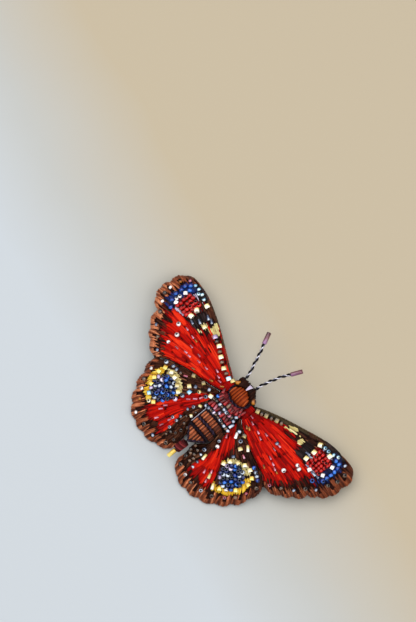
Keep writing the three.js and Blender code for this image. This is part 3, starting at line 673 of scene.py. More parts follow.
def wing_at(name, s, w):
    """A place on a wing: its edges are blended, and the scallops fade in from the root outwards."""
    w = clamp01(w)
    front, back, notches = (WINGS[name][edge] for edge in ("front", "back", "notches"))
    along_front, along_back, scallop = spline(front, s), spline(back, s), scalloped_edge(notches, w)
    place = []
    for c in (0, 1):
        root = mix(front[0][c], back[0][c], w)
        straight = mix(notches[0][c], notches[-1][c], w)
        between_edges = mix(along_front[c], along_back[c], w)
        place.append(between_edges + mix(root, scallop[c], s) - mix(root, straight, s))
    return tuple(place)


for name in WINGS:
    print(name, "tip", [round(v, 1) for v in wing_at(name, 1, 0.3)])

# %% [markdown]
# The pin on the back lifts the forewings off the table, and the hindwings slope down to it. Padding makes
# the middle of a wing thicker than its root, and the wrapped border is thin again towards the edge.

# %% Heights of the wings
BACK_Z = 4.0
TIP_DROOP = 0.9
HALF_SPAN = 41
ROOT_THICK = 2.3
FIELD_THICK = 2.7
BORDER_THICK = 2.2
EDGE_THICK = 1.1
SIDE_THICK = {"forewing": 2.1, "hindwing": 1.4}


def back_height(x, y):
    level = BACK_Z - TIP_DROOP * (x / HALF_SPAN) ** 2
    return level * (1 - smooth(-4.5, -22, y))


def thickness(name, s, w):
    field = mix(ROOT_THICK, FIELD_THICK, smooth(0, 0.5, s))
    border = mix(BORDER_THICK, EDGE_THICK, smooth(0.95, 1, s))
    outward = mix(field, border, smooth(0.84, 0.89, s))
    side = smooth(0, 0.06, min(w, 1 - w))
    return mix(min(SIDE_THICK[name.split("_")[0]], outward), outward, side)


for name in WINGS:
    height, thick = back_height(*wing_at(name, 0.7, 0.5)), thickness(name, 0.7, 0.5)
    print(f"{name}: its back is {height:.2f} mm over the table, and it is {thick:.2f} mm thick")

# %% [markdown]
# Under the stitches each wing is felt, padded and covered with dark cloth. The pad is a grid bent onto
# the wing's plan, then pulled down to the back face. The cloth shows in the gaps between strands, and
# the felt is all one sees from behind.

# %% Wing pads
PAD_COLUMNS = 96
PAD_ROWS = 30
PAD_END = 0.995  # share of the way out where a pad ends, so that the thread wraps it
UNDER_STITCHES = 0.42
ABOVE_BACK = 0.02


def domed_grid(columns, rows, top_at, floor_at):
    """A grid whose points go to top_at(u, v), with walls and a floor below; also its top faces."""
    bm = bmesh.new()
    bmesh.ops.create_grid(bm, x_segments=columns, y_segments=rows, size=0.5)
    for v in bm.verts:
        v.co = top_at(v.co.x + 0.5, v.co.y + 0.5)
    top = bm.faces[:]
    pulled = bmesh.ops.extrude_face_region(bm, geom=top)
    for v in [part for part in pulled["geom"] if isinstance(part, bmesh.types.BMVert)]:
        v.co.z = floor_at(v.co.x, v.co.y)
    return bm, top


def add_wing_pad(name):
    def top_at(w, s):
        x, y = wing_at(name, s * PAD_END, w)
        return (x, y, back_height(x, y) + thickness(name, s, w) - UNDER_STITCHES)

    bm, top = domed_grid(PAD_COLUMNS, PAD_ROWS, top_at, lambda x, y: back_height(x, y) + ABOVE_BACK)
    for face in bm.faces:
        face.material_index = 1
    for face in top:
        face.material_index = 0
    pad = put(f"{name}_pad", mesh_in_metres(bm, f"{name}_pad"), GROUND, [name])
    pad.data.materials.append(FELT)
    return pad


for name in WINGS:
    print(name, "pad:", len(add_wing_pad(name).data.polygons), "faces")

# %% [markdown]
# Colour areas are drawn on the wings as a few outlines, as an embroiderer marks cloth with chalk before
# stitching. Each stitch then takes the thread of the area where its middle lies. The two sides were
# stitched by hand and differ, so each wing has its own outlines. Where two overlap, the first one counts.
# Round a hindwing eyespot the thread changes with the distance: navy under the beads, then a pale ring
# that turns yellow, and is open on one side.

# %% Where each thread goes
def inside(outline, x, y):
    crossed = False
    for (ax, ay), (bx, by) in zip(outline, outline[1:] + outline[:1]):
        if (ay > y) != (by > y) and x < ax + (y - ay) / (by - ay) * (bx - ax):
            crossed = not crossed
    return crossed


AREAS = {
    "forewing_left": [
        ("cream", [(-22.5, 13.2), (-19.8, 12.4), (-17.7, 11.2), (-17.6, 9.2), (-18.9, 8.8), (-21.9, 10.7)]),
        ("cream", [(-24.9, 10.6), (-21.8, 10.4), (-21.6, 8.6), (-24.9, 8.4)]),
        ("cream", [(-24.6, 7.8), (-22.0, 7.7), (-22.0, 6.9), (-24.6, 6.9)]),
        ("black", [(-28.6, 13), (-25, 12.6), (-22.3, 11.2), (-24, 10.4), (-24.3, 6.9), (-28.6, 6.7)]),
        ("dark", [(-28.6, 13), (-28, 17), (-22.2, 14), (-22.3, 11.2), (-25, 12.6)]),
        ("dark", [(-21.4, 8.9), (-19.9, 9.3), (-19.2, 8.3), (-20.9, 7.7)]),
        ("dark", [(-18.5, 4.6), (-17.2, 5.4), (-16.6, 4.2), (-17.8, 3.2)]),
        ("lilac", [(-33.8, 13.9), (-28.6, 13.5), (-28.6, 12.7), (-33.8, 13.3)]),
        ("lilac", [(-34.2, 6.9), (-29.2, 7.6), (-29.2, 6.5), (-34.2, 5.9)]),
        ("navy", [(-37.8, 15), (-33.6, 16.2), (-33.9, 5.9), (-34.8, 4.8), (-37.2, 6.8)]),
        ("black", [(-34, 16.4), (-28.6, 16.8), (-28.6, 13.4), (-34, 13.6)]),
        ("deep", [(-34, 13.4), (-28.6, 13.4), (-28.6, 6.9), (-34, 6.3)]),
    ],
    "forewing_right": [
        ("cream", [(15.1, 7.5), (15.7, 9.3), (20.2, 11.1), (20.9, 9.5), (17.2, 7.9)]),
        ("olive", [(5, 3.7), (12, 6.7), (15.6, 8.6), (20.8, 10.8), (20.8, 13), (12, 9.6), (5, 5.8)]),
        ("cream", [(21.1, 7.8), (21.5, 10), (23.8, 10.2), (23.8, 7.8)]),
        ("black", [(23.7, 7.6), (23.9, 10.4), (27.6, 11.2), (27.8, 5.6), (24.3, 5.6)]),
        ("dark", [(20.7, 9.7), (20.7, 12.6), (27, 15.2), (27.8, 5.6), (24.3, 5.6), (23.6, 8), (21.4, 9.5)]),
        ("dark", [(19, 7.3), (19.6, 8.6), (21.2, 8.5), (20.6, 6.9)]),
        ("dark", [(17.5, 3.9), (19, 4), (19.2, 2.3), (17.8, 2.3)]),
        ("lilac", [(28.2, 12.7), (33.6, 13.1), (33.6, 12.3), (28.2, 12)]),
        ("lilac", [(28.1, 6.2), (34.4, 6.2), (34.2, 5.1), (28.3, 5.4)]),
        ("navy", [(33.4, 15.4), (37, 15), (37.2, 5.2), (34.4, 3.2), (34.2, 5.2), (34.6, 11.8),
                  (33.4, 12.4)]),
        ("black", [(27.4, 15.6), (33.6, 16), (33.6, 12.9), (27.4, 12.4)]),
        ("deep", [(28, 12.2), (34.2, 12.4), (34.6, 6), (28, 6)]),
    ],
    "hindwing_left": [
        ("red", [(-5, -1), (-7, -3.2), (-9.6, -6), (-11.7, -9.5), (-12.5, -12), (-13.6, -14.4),
                 (-15.2, -17.2), (-17.8, -19.6), (-15.5, -20.4), (-13, -21.8), (-11, -20.6), (-8.6, -21.2),
                 (-6.8, -21.2), (-7, -15), (-6.9, -11), (-6.4, -8), (-5.3, -5), (-4.8, -3)]),
    ],
    "hindwing_right": [
        ("yellow", [(14.2, -18.3), (17, -18.6), (20.3, -17.6), (19, -19.8), (16.4, -21.4),
                    (15.3, -20.6)]),
        ("red", [(5.7, -1.8), (8.3, -5.3), (10.8, -7.2), (11.4, -9), (11.4, -11), (12.3, -14),
                 (14.2, -18.3), (15.5, -22.2), (12.7, -23), (10, -21.8), (8.9, -24), (8.2, -22),
                 (5.3, -22.2), (6.4, -19), (7.1, -15), (7.5, -11), (6.4, -8), (5.8, -5)]),
    ],
}
EYESPOTS = {
    "hindwing_left": {"x": -17.0, "y": -12.2, "cluster": 3.9, "ring": 6.3, "open_from": -1.55,
                      "open_to": 0.35, "pale_turn": 1.35},
    "hindwing_right": {"x": 17.2, "y": -14.0, "cluster": 4.0, "ring": 6.0, "open_from": 3.05,
                       "open_to": 4.5, "pale_turn": 1.8},
}
PALE_HALF = 0.95  # half the pale stretch of the ring, in radians
UNDER_BEADS = 0.4


def ring_thread(spot, x, y):
    """The thread under or round a hindwing eyespot, or None outside it."""
    away = math.hypot(x - spot["x"], y - spot["y"])
    if away > spot["ring"]:
        return None
    if away < spot["cluster"] - UNDER_BEADS:
        return "navy"
    turn = math.atan2(y - spot["y"], x - spot["x"])
    for whole in (0, 2 * math.pi):
        if spot["open_from"] < turn + whole < spot["open_to"]:
            return None
    gap = abs((turn - spot["pale_turn"] + math.pi) % (2 * math.pi) - math.pi)
    return "cream" if gap < PALE_HALF else "yellow"


def thread_at(name, x, y, rest):
    """The thread of a place on a wing. Where nothing is drawn it is the one called rest."""
    if name in EYESPOTS:
        thread = ring_thread(EYESPOTS[name], x, y)
        if thread:
            return thread
    for thread, outline in AREAS[name]:
        if inside(outline, x, y):
            return thread
    return rest


print("areas on each wing:", {name: len(areas) for name, areas in AREAS.items()})

# %% [markdown]
# A stitch is one strand over the padding. It follows the wing's own grid of s and w, and its ends go down
# between the others. Neighbouring strands share a tint that drifts slowly, because floss gathers in
# bundles. Pale stitches, and those of two plies, are cut to the outline of their area, which stays crisp.

# %% One stitch
STRAND_DEPTH = 0.22  # how far a strand's middle lies under the model's surface
DIVE = 0.3
DIVE_SHARE = 0.16
TRIM = 0.012
PALE_THREADS = ("cream", "yellow", "lilac")


def near_ends(t, share):
    """1 at both ends of a strand, falling to 0 over a share of its length."""
    return 1 - smooth(0, share, min(t, 1 - t))


def stitch(name, s_from, s_to, w_from, w_to, lift):
    points = []
    for t in np.linspace(0, 1, STRAND_RINGS):
        s, w = mix(s_from, s_to, t), mix(w_from, w_to, t)
        x, y = wing_at(name, s, w)
        top = back_height(x, y) + thickness(name, s, w)
        points.append((x, y, top - STRAND_DEPTH + lift - DIVE * near_ends(t, DIVE_SHARE)))
    return points


def bundle(w, band, count):
    """A tint that changes slowly from strand to strand, so that neighbours form bundles."""
    return 0.5 + 0.5 * math.sin(w * count * 0.9 + band * 2.4) * math.sin(w * count * 0.37 + band)


def trimmed(name, start, end, w, thread, rest):
    """Shortens a stitch until both its ends lie in the area of its own thread."""
    middle = (start + end) / 2
    while end > middle and thread_at(name, *wing_at(name, end, w), rest) != thread:
        end -= TRIM
    while start < middle and thread_at(name, *wing_at(name, start, w), rest) != thread:
        start += TRIM
    return start, end


middle_stitch = stitch("forewing_left", 0.4, 0.6, 0.5, 0.5, 0.0)
print("a stitch goes from", np.round(middle_stitch[0], 1), "to", np.round(middle_stitch[-1], 1))

# %% [markdown]
# Satin stitches lie side by side from the root outwards. One stitch can't cross a whole wing, so they
# come in bands that overlap by a millimetre or two, as in long and short stitch. A strand has one or two
# plies, which lie close together and differ a little in length, width and tint.

# %% Bands of satin stitch
EDGE_BARE = 0.02  # share of a forewing at its front edge that is left to the cords
OUTERMOST = 0.93
RAGGED = 1.8  # the outermost band ends more unevenly, by this factor
STRAND_HEIGHT = 0.32
SLANT = 0.4  # a strand may end this share of the pitch beside where it started
UNEVEN_LIFT = (-0.05, 0.09)
UNEVEN_WIDTH = (0.8, 1.25)
PLY_SHARE = 0.46  # how far apart two plies lie, as a share of the pitch
PLY_SHORTER = 0.02
PLY_TINT = 0.14
BUNDLE_SHARE = 0.4  # how much of the tint comes from the bundle; the rest is chance
# painted light and shade: each wing's tints are lowered by this, or raised where it is negative, as more or
# less light falls on that wing
PAINTED_WING_SHADE = {"forewing_left": -0.04, "forewing_right": 0.1, "hindwing_left": -0.07}  # taken off every tint


def lengths_along(points):
    """How far along a path each of its points lies."""
    return np.concatenate([[0], np.cumsum(np.linalg.norm(np.diff(points, axis=0), axis=1))])


def even_shares(name, s, pitch):
    """Shares w along a line of equal s, a pitch in millimetres apart."""
    samples = np.linspace(0, 1, 129)
    lengths = lengths_along(np.array([wing_at(name, s, w) for w in samples]))
    count = max(3, int(lengths[-1] / pitch))
    return np.interp((np.arange(count) + 0.5) / count * lengths[-1], lengths, samples)


def satin(name, bands, rest, pitch, width, lift, keep, reach, skip=(), plies=1):
    """Stitches in bands of s, as strands by thread. keep is the share sewn, reach how ragged they end."""
    runs = {}
    for band, (s_from, s_to) in enumerate(bands):
        shares = even_shares(name, (s_from + s_to) / 2, pitch)
        for w in shares:
            if chance.random() > keep or (w < EDGE_BARE and name.startswith("forewing")):
                continue
            start = s_from + chance.uniform(-reach, reach)
            ragged = RAGGED if band == len(bands) - 1 else 1
            end = min(s_to + chance.uniform(-reach, reach) * ragged, OUTERMOST)
            w_end = w + chance.uniform(-SLANT, SLANT) / len(shares)
            thread = thread_at(name, *wing_at(name, (start + end) / 2, w), rest)
            if thread in skip:
                continue
            if plies > 1 or thread in PALE_THREADS:
                start, end = trimmed(name, start, end, w, thread, rest)
            own_tint = BUNDLE_SHARE * bundle(w, band, len(shares)) + (1 - BUNDLE_SHARE) * chance.random()
            tint = clamp01(own_tint - PAINTED_WING_SHADE.get(name, 0))
            raised = lift + chance.uniform(*UNEVEN_LIFT)
            for ply in range(plies):
                beside = (ply - (plies - 1) / 2) * PLY_SHARE / len(shares)
                shorter = chance.uniform(0, PLY_SHORTER)
                path = stitch(name, max(start, 0.0) + shorter, end - shorter, w + beside, w_end + beside,
                              raised)
                ply_tint = clamp01(tint + chance.uniform(-PLY_TINT, PLY_TINT))
                ply_width = width * chance.uniform(*UNEVEN_WIDTH)
                runs.setdefault(thread, []).append((path, ply_width, STRAND_HEIGHT, ply_tint))
    return runs


print("stitches across a forewing, 0.46 mm apart:", len(even_shares("forewing_left", 0.6, 0.46)))

# %% [markdown]
# On top lie broad strokes in bright tints, a painted highlight where the light catches a whole bundle:
# a few strands side by side that close to a point at the outer end. They are laid only where all of their
# way is red.

# %% Bright tongues
TONGUE_PITCH = 0.27
TONGUE_START = (0.18, 0.6)
TONGUE_LENGTH = (0.16, 0.26)
TONGUE_PLACE = (0.06, 0.97)
TONGUE_SLANT = 1.5
TONGUE_PLIES = (3, 4, 5, 6)
# painted highlight: the tongues' tints are brighter than those of the strands under them
TONGUE_HIGHLIGHT_TINT = (0.72, 1.05)
TONGUE_LIFT = 0.17
TONGUE_POINT = 0.012  # each strand farther from the middle ends this much sooner
TONGUE_END = {"forewing_left": 0.87, "forewing_right": 0.84,
              "hindwing_left": 0.82, "hindwing_right": 0.82}


def tongues(name, count, rest):
    runs = []
    share = 1 / len(even_shares(name, 0.6, TONGUE_PITCH))
    for _ in range(count):
        start = chance.uniform(*TONGUE_START)
        end = min(start + chance.uniform(*TONGUE_LENGTH), TONGUE_END[name])
        w, slant = chance.uniform(*TONGUE_PLACE), chance.uniform(-TONGUE_SLANT, TONGUE_SLANT) * share
        middle_line = [wing_at(name, s, w + slant * 0.5) for s in np.linspace(start, end, 6)]
        if any(thread_at(name, x, y, rest) != "red" for x, y in middle_line):
            continue
        tint = chance.uniform(*TONGUE_HIGHLIGHT_TINT) - PAINTED_WING_SHADE.get(name, 0)
        plies = chance.choice(TONGUE_PLIES)
        for ply in range(plies):
            off = ply - (plies - 1) / 2
            beside = off * share
            path = stitch(name, start + abs(beside), end - abs(beside) / share * TONGUE_POINT, w + beside,
                          w + slant + beside * 0.35, TONGUE_LIFT - 0.02 * abs(off))
            runs.append((path, 0.32, 0.3, clamp01(tint + chance.uniform(-0.16, 0.1))))
    return runs


print("strands of a tongue lie", TONGUE_PITCH, "mm apart")

# %% [markdown]
# The layers go on from below: short stitches in deep red or brown cover the cloth, long ones in red make
# the bundles and leave dark gaps, and tongues in bright tints, a painted highlight, lie over them. On a
# forewing a brown fringe then reaches into the border. The small coloured areas come last, in short
# stitches that keep their outlines.

# %% Embroidering the wings
# Bands are given by s from and to. Pitch, width and lift are in millimetres.
FORE_BANDS = [(-0.02, 0.2), (0.16, 0.37), (0.33, 0.53), (0.5, 0.7), (0.66, 0.815)]
HIND_BANDS = [(-0.02, 0.24), (0.2, 0.46), (0.42, 0.66), (0.62, 0.86)]
FRINGE_BANDS = [(0.78, 0.9)]
SHORT_BANDS = [(k * 0.085, k * 0.085 + 0.115) for k in range(10)]
FORE_TONGUES = 40
HIND_TONGUES = 18
COVER = {"pitch": 0.5, "width": 0.52, "lift": -0.12, "keep": 1.0, "reach": 0.02}
DEEP_RED = {"pitch": 0.42, "width": 0.5, "lift": -0.08, "keep": 1.0, "reach": 0.03}
LONG_RED = {"pitch": 0.46, "width": 0.32, "lift": 0.06, "keep": 0.92, "reach": 0.035, "plies": 2}
FRINGE = {"pitch": 0.42, "width": 0.36, "lift": 0.12, "keep": 0.6, "reach": 0.04}
SMALL_AREAS = {"pitch": 0.36, "width": 0.4, "lift": 0.04, "keep": 0.8, "reach": 0.02}


def add_runs(whole, more):
    for thread, runs in more.items():
        whole.setdefault(thread, []).extend(runs)


def embroider(name):
    fore = name.startswith("forewing")
    rest = "red" if fore else "dark"
    runs = {}
    add_runs(runs, satin(name, SHORT_BANDS, "deep" if fore else "dark", skip=("red",), **COVER))
    if not fore:
        add_runs(runs, {"deep": satin(name, HIND_BANDS, "dark", **DEEP_RED).get("red", [])})
    long_bands = FORE_BANDS if fore else HIND_BANDS
    add_runs(runs, {"red": satin(name, long_bands, rest, **LONG_RED).get("red", [])})
    add_runs(runs, {"red": tongues(name, FORE_TONGUES if fore else HIND_TONGUES, rest)})
    if fore:
        add_runs(runs, {"dark": satin(name, FRINGE_BANDS, "dark", **FRINGE).get("dark", [])})
    add_runs(runs, satin(name, SHORT_BANDS, rest, skip=("red", "deep"), **SMALL_AREAS))
    return runs


embroidery = {name: embroider(name) for name in WINGS}
for name, runs in embroidery.items():
    print(name, {thread: len(found) for thread, found in runs.items()})

# %% [markdown]
# Round the outer edge every scallop is a fan of copper thread wrapped over the felt, with a bead in a
# dark hollow at its middle. The strands start close together inside, spread outwards, and turn down
# over the edge. Those in front of the bead start farther out and leave its hollow open.

# %% Copper borders
HOLLOW = 0.3  # share of each half of a scallop where the fan leaves room for the bead
PAST_BEAD = (0.95, 0.97)  # where the strands start that leave this room
FAN_SPREAD = (0.7, 0.95)  # the spread of the strands at their start, as a share of that at the edge
FAN_START = (-0.02, 0.05)  # chance in where a strand starts
BORDER_DEPTH = 0.2  # a fan lies this far under the top of the padding
BORDER_DIVE = 0.35  # and its strands start this much deeper
OUTER_END = 0.985  # share of the way out where a fan turns down and an edge cord stops
FOLD_HEIGHTS = (0.75, 0.22)  # over the back, where a strand turns down and where it ends
RAGGED_EDGE = 0.3
LOBE_BULGE = 0.25
BORDER_UNEVEN = 0.005  # how far a strand strays for each millimetre of pitch, as a share of the edge
BORDER_BUNDLES = 7.5
BORDER_FROM = {"forewing_left": 0.865, "forewing_right": 0.87,
               "hindwing_left": 0.85, "hindwing_right": 0.85}
BORDER_LAYERS = [(0.3, 0.32, 0.0), (0.4, 0.32, 0.12)]  # pitch, width and lift of each layer
# painted light and shade: the copper's tint is raised or lowered from the front edge to the back edge of
# each border, as the light falls on it
BORDER_PAINTED_LIGHT = {  # how bright the thread is at the front edge and at the back edge
    "forewing_left": (0.78, 2.3), "forewing_right": (0.8, 0.85),
    "hindwing_left": (1.2, 1.05), "hindwing_right": (0.85, 1.15),
}


def border_path(name, s_from, w_in, w_out, lift, overhang):
    """One strand of a fan: over the border, a little past the edge and down to the felt."""
    points = []
    for t, s in zip(np.linspace(0, 1, 6), np.linspace(s_from, OUTER_END, 6)):
        x, y = wing_at(name, s, mix(w_in, w_out, t))
        sunk = BORDER_DIVE * (1 - smooth(0, 0.2, t))
        points.append((x, y, back_height(x, y) + thickness(name, s, w_out) - BORDER_DEPTH + lift - sunk))
    x, y = wing_at(name, 1, w_out)
    inner_x, inner_y = wing_at(name, 0.97, w_out)
    reach = math.hypot(x - inner_x, y - inner_y) + 1e-6
    x += (x - inner_x) / reach * overhang
    y += (y - inner_y) / reach * overhang
    return points + [(x, y, back_height(x, y) + height) for height in FOLD_HEIGHTS]


def copper_border(name):
    lobes = len(WINGS[name]["notches"]) - 1
    fans = []
    for pitch, width, lift in BORDER_LAYERS:
        for w in even_shares(name, 1, pitch):
            w += chance.uniform(-BORDER_UNEVEN, BORDER_UNEVEN) * pitch
            lobe = min(int(w * lobes), lobes - 1)
            middle = (lobe + 0.5) / lobes
            off_middle = (w - middle) * lobes * 2
            w_in = middle + (w - middle) * chance.uniform(*FAN_SPREAD)
            s_in = BORDER_FROM[name] + chance.uniform(*FAN_START) + lift * 0.2
            if abs(off_middle) < HOLLOW:
                s_in = max(s_in, chance.uniform(*PAST_BEAD))
            bundled = 0.5 + 0.3 * math.sin(off_middle * BORDER_BUNDLES) + chance.uniform(-0.28, 0.28)
            tint = clamp01(mix(*BORDER_PAINTED_LIGHT[name], w) * bundled - 0.4 * smooth(0.2, 0.06, w))
            ragged = RAGGED_EDGE * chance.random() ** 2
            overhang = 0.02 + ragged + LOBE_BULGE * math.cos(off_middle * math.pi / 2)
            path = border_path(name, s_in, w_in, w, lift + chance.uniform(-0.05, 0.07), overhang)
            fans.append((path, width * chance.uniform(0.75, 1.2), 0.3, tint))
    return fans


for name, runs in embroidery.items():
    add_runs(runs, {"copper": copper_border(name)})
    print(name, "border strands:", len(runs["copper"]))

# %% [markdown]
# The front edge of a forewing is bound by two or three thin olive cords that lie over one another. A cord
# is two strands that wind round each other, so each strand's path is a helix round the edge line.

# %% Cords along the front edges
CORD_RINGS = 120
CORD_END = 0.8
EDGE_CORD_RADIUS = 0.16
EDGE_CORD_PITCH = 1.5
EDGE_CORD_WIDTH = 0.36
EDGE_CORDS = {  # how far each lies in from the edge, and how far under the edge's top
    "forewing_left": [(0.34, -0.14), (0.26, 0.5)],
    "forewing_right": [(0.34, -0.1), (0.86, -0.24), (0.26, 0.5)],
}


def cord_paths(centres, radius, pitch, plies=2):
    """Helices round a centre line given by points in millimetres."""
    centres = np.asarray(centres, float)
    lengths = lengths_along(centres)
    at = np.linspace(0, lengths[-1], CORD_RINGS)
    line = np.stack([np.interp(at, lengths, centres[:, c]) for c in range(3)], axis=1)
    tangent = np.gradient(line, axis=0)
    side, up = side_and_up(tangent, tangent)
    paths = []
    for ply in range(plies):
        turn = 2 * math.pi * (at / pitch + ply / plies)
        paths.append(line + radius * (np.cos(turn)[:, None] * side + np.sin(turn)[:, None] * up))
    return paths


def edge_line(name, inset, sink):
    points = []
    for s in np.linspace(0, OUTER_END, 40):
        x, y = set_back(WINGS[name]["front"], s, inset)
        points.append((x, y, back_height(x, y) + SIDE_THICK["forewing"] - sink))
    return points


for name, cords in EDGE_CORDS.items():
    strands = []
    for inset, sink in cords:
        for path in cord_paths(edge_line(name, inset, sink), EDGE_CORD_RADIUS, EDGE_CORD_PITCH):
            strands.append((path, EDGE_CORD_WIDTH, EDGE_CORD_WIDTH, chance.random()))
    lay_strands(f"{name}_edge_cord", strands, THREADS["olive"], end_scale=CORD_END)

# %% [markdown]
# Now the strands of each wing are laid, thread by thread, so that every colour is a piece of its own.

# %% Laying the wings' strands
SPUN_THREADS = ("copper", "dark", "black", "olive", "navy")  # the others are floss

for name, runs in embroidery.items():
    for thread, strands in runs.items():
        if strands:
            kind = "thread" if thread in SPUN_THREADS else "floss"
            lay_strands(f"{name}_{thread}_{kind}", strands, THREADS[thread])

# %% [markdown]
# Some dark threads lie beside the edges: along the inner edges of the hindwings, close to the point of the
# abdomen, and across the notch where the outer borders of two wings meet.

# %% Threads between the pieces
INNER_THREADS = {"left": (3, 1, 0.5, 0.74), "right": (4, -1, 0.36, 0.84)}  # how many, which way, from, to
INNER_PITCH = 0.24
INNER_HEIGHT = 1.3
NOTCHES = {"left": ((-26.4, -6.9), (-23.6, -8.7)), "right": ((26, -7.2), (23.4, -8.9))}
NOTCH_STRANDS = 9
NOTCH_STITCH = 2.2
NOTCH_HEIGHT = 1.35

for side, (count, inwards, t_from, t_to) in INNER_THREADS.items():
    strands = []
    for k in range(count):
        path = []
        for t in np.linspace(t_from, t_to - 0.03 * k, 16):
            x, y = spline(WINGS[f"hindwing_{side}"]["back"], t)
            z = back_height(x, y) + INNER_HEIGHT - 0.12 * k
            path.append((x + inwards * (0.05 + INNER_PITCH * k), y, z))
        strands.append((path, 0.42, 0.4, chance.uniform(0.2, 0.7)))
    lay_strands(f"hindwing_{side}_inner_threads", strands, THREADS["dark"])

for side, (outer, inner) in NOTCHES.items():
    strands = []
    for k in range(NOTCH_STRANDS):
        x, y = (mix(outer[c], inner[c], k / (NOTCH_STRANDS - 1)) for c in (0, 1))
        z = back_height(x, y) + NOTCH_HEIGHT
        path = [(x + 0.2 * t, y + NOTCH_STITCH / 2 - NOTCH_STITCH * t, z - 0.5 * abs(2 * t - 1))
                for t in np.linspace(0, 1, STRAND_RINGS)]
        strands.append((path, 0.38, 0.36, chance.uniform(0.1, 0.8)))
    lay_strands(f"notch_{side}_threads", strands, THREADS["dark"])

# %% [markdown]
# The beads were sewn on after the stitches, one by one. Most of their places are read off the real
# brooch, in millimetres. Each line of the list holds one glass, one kind of bead and its width.

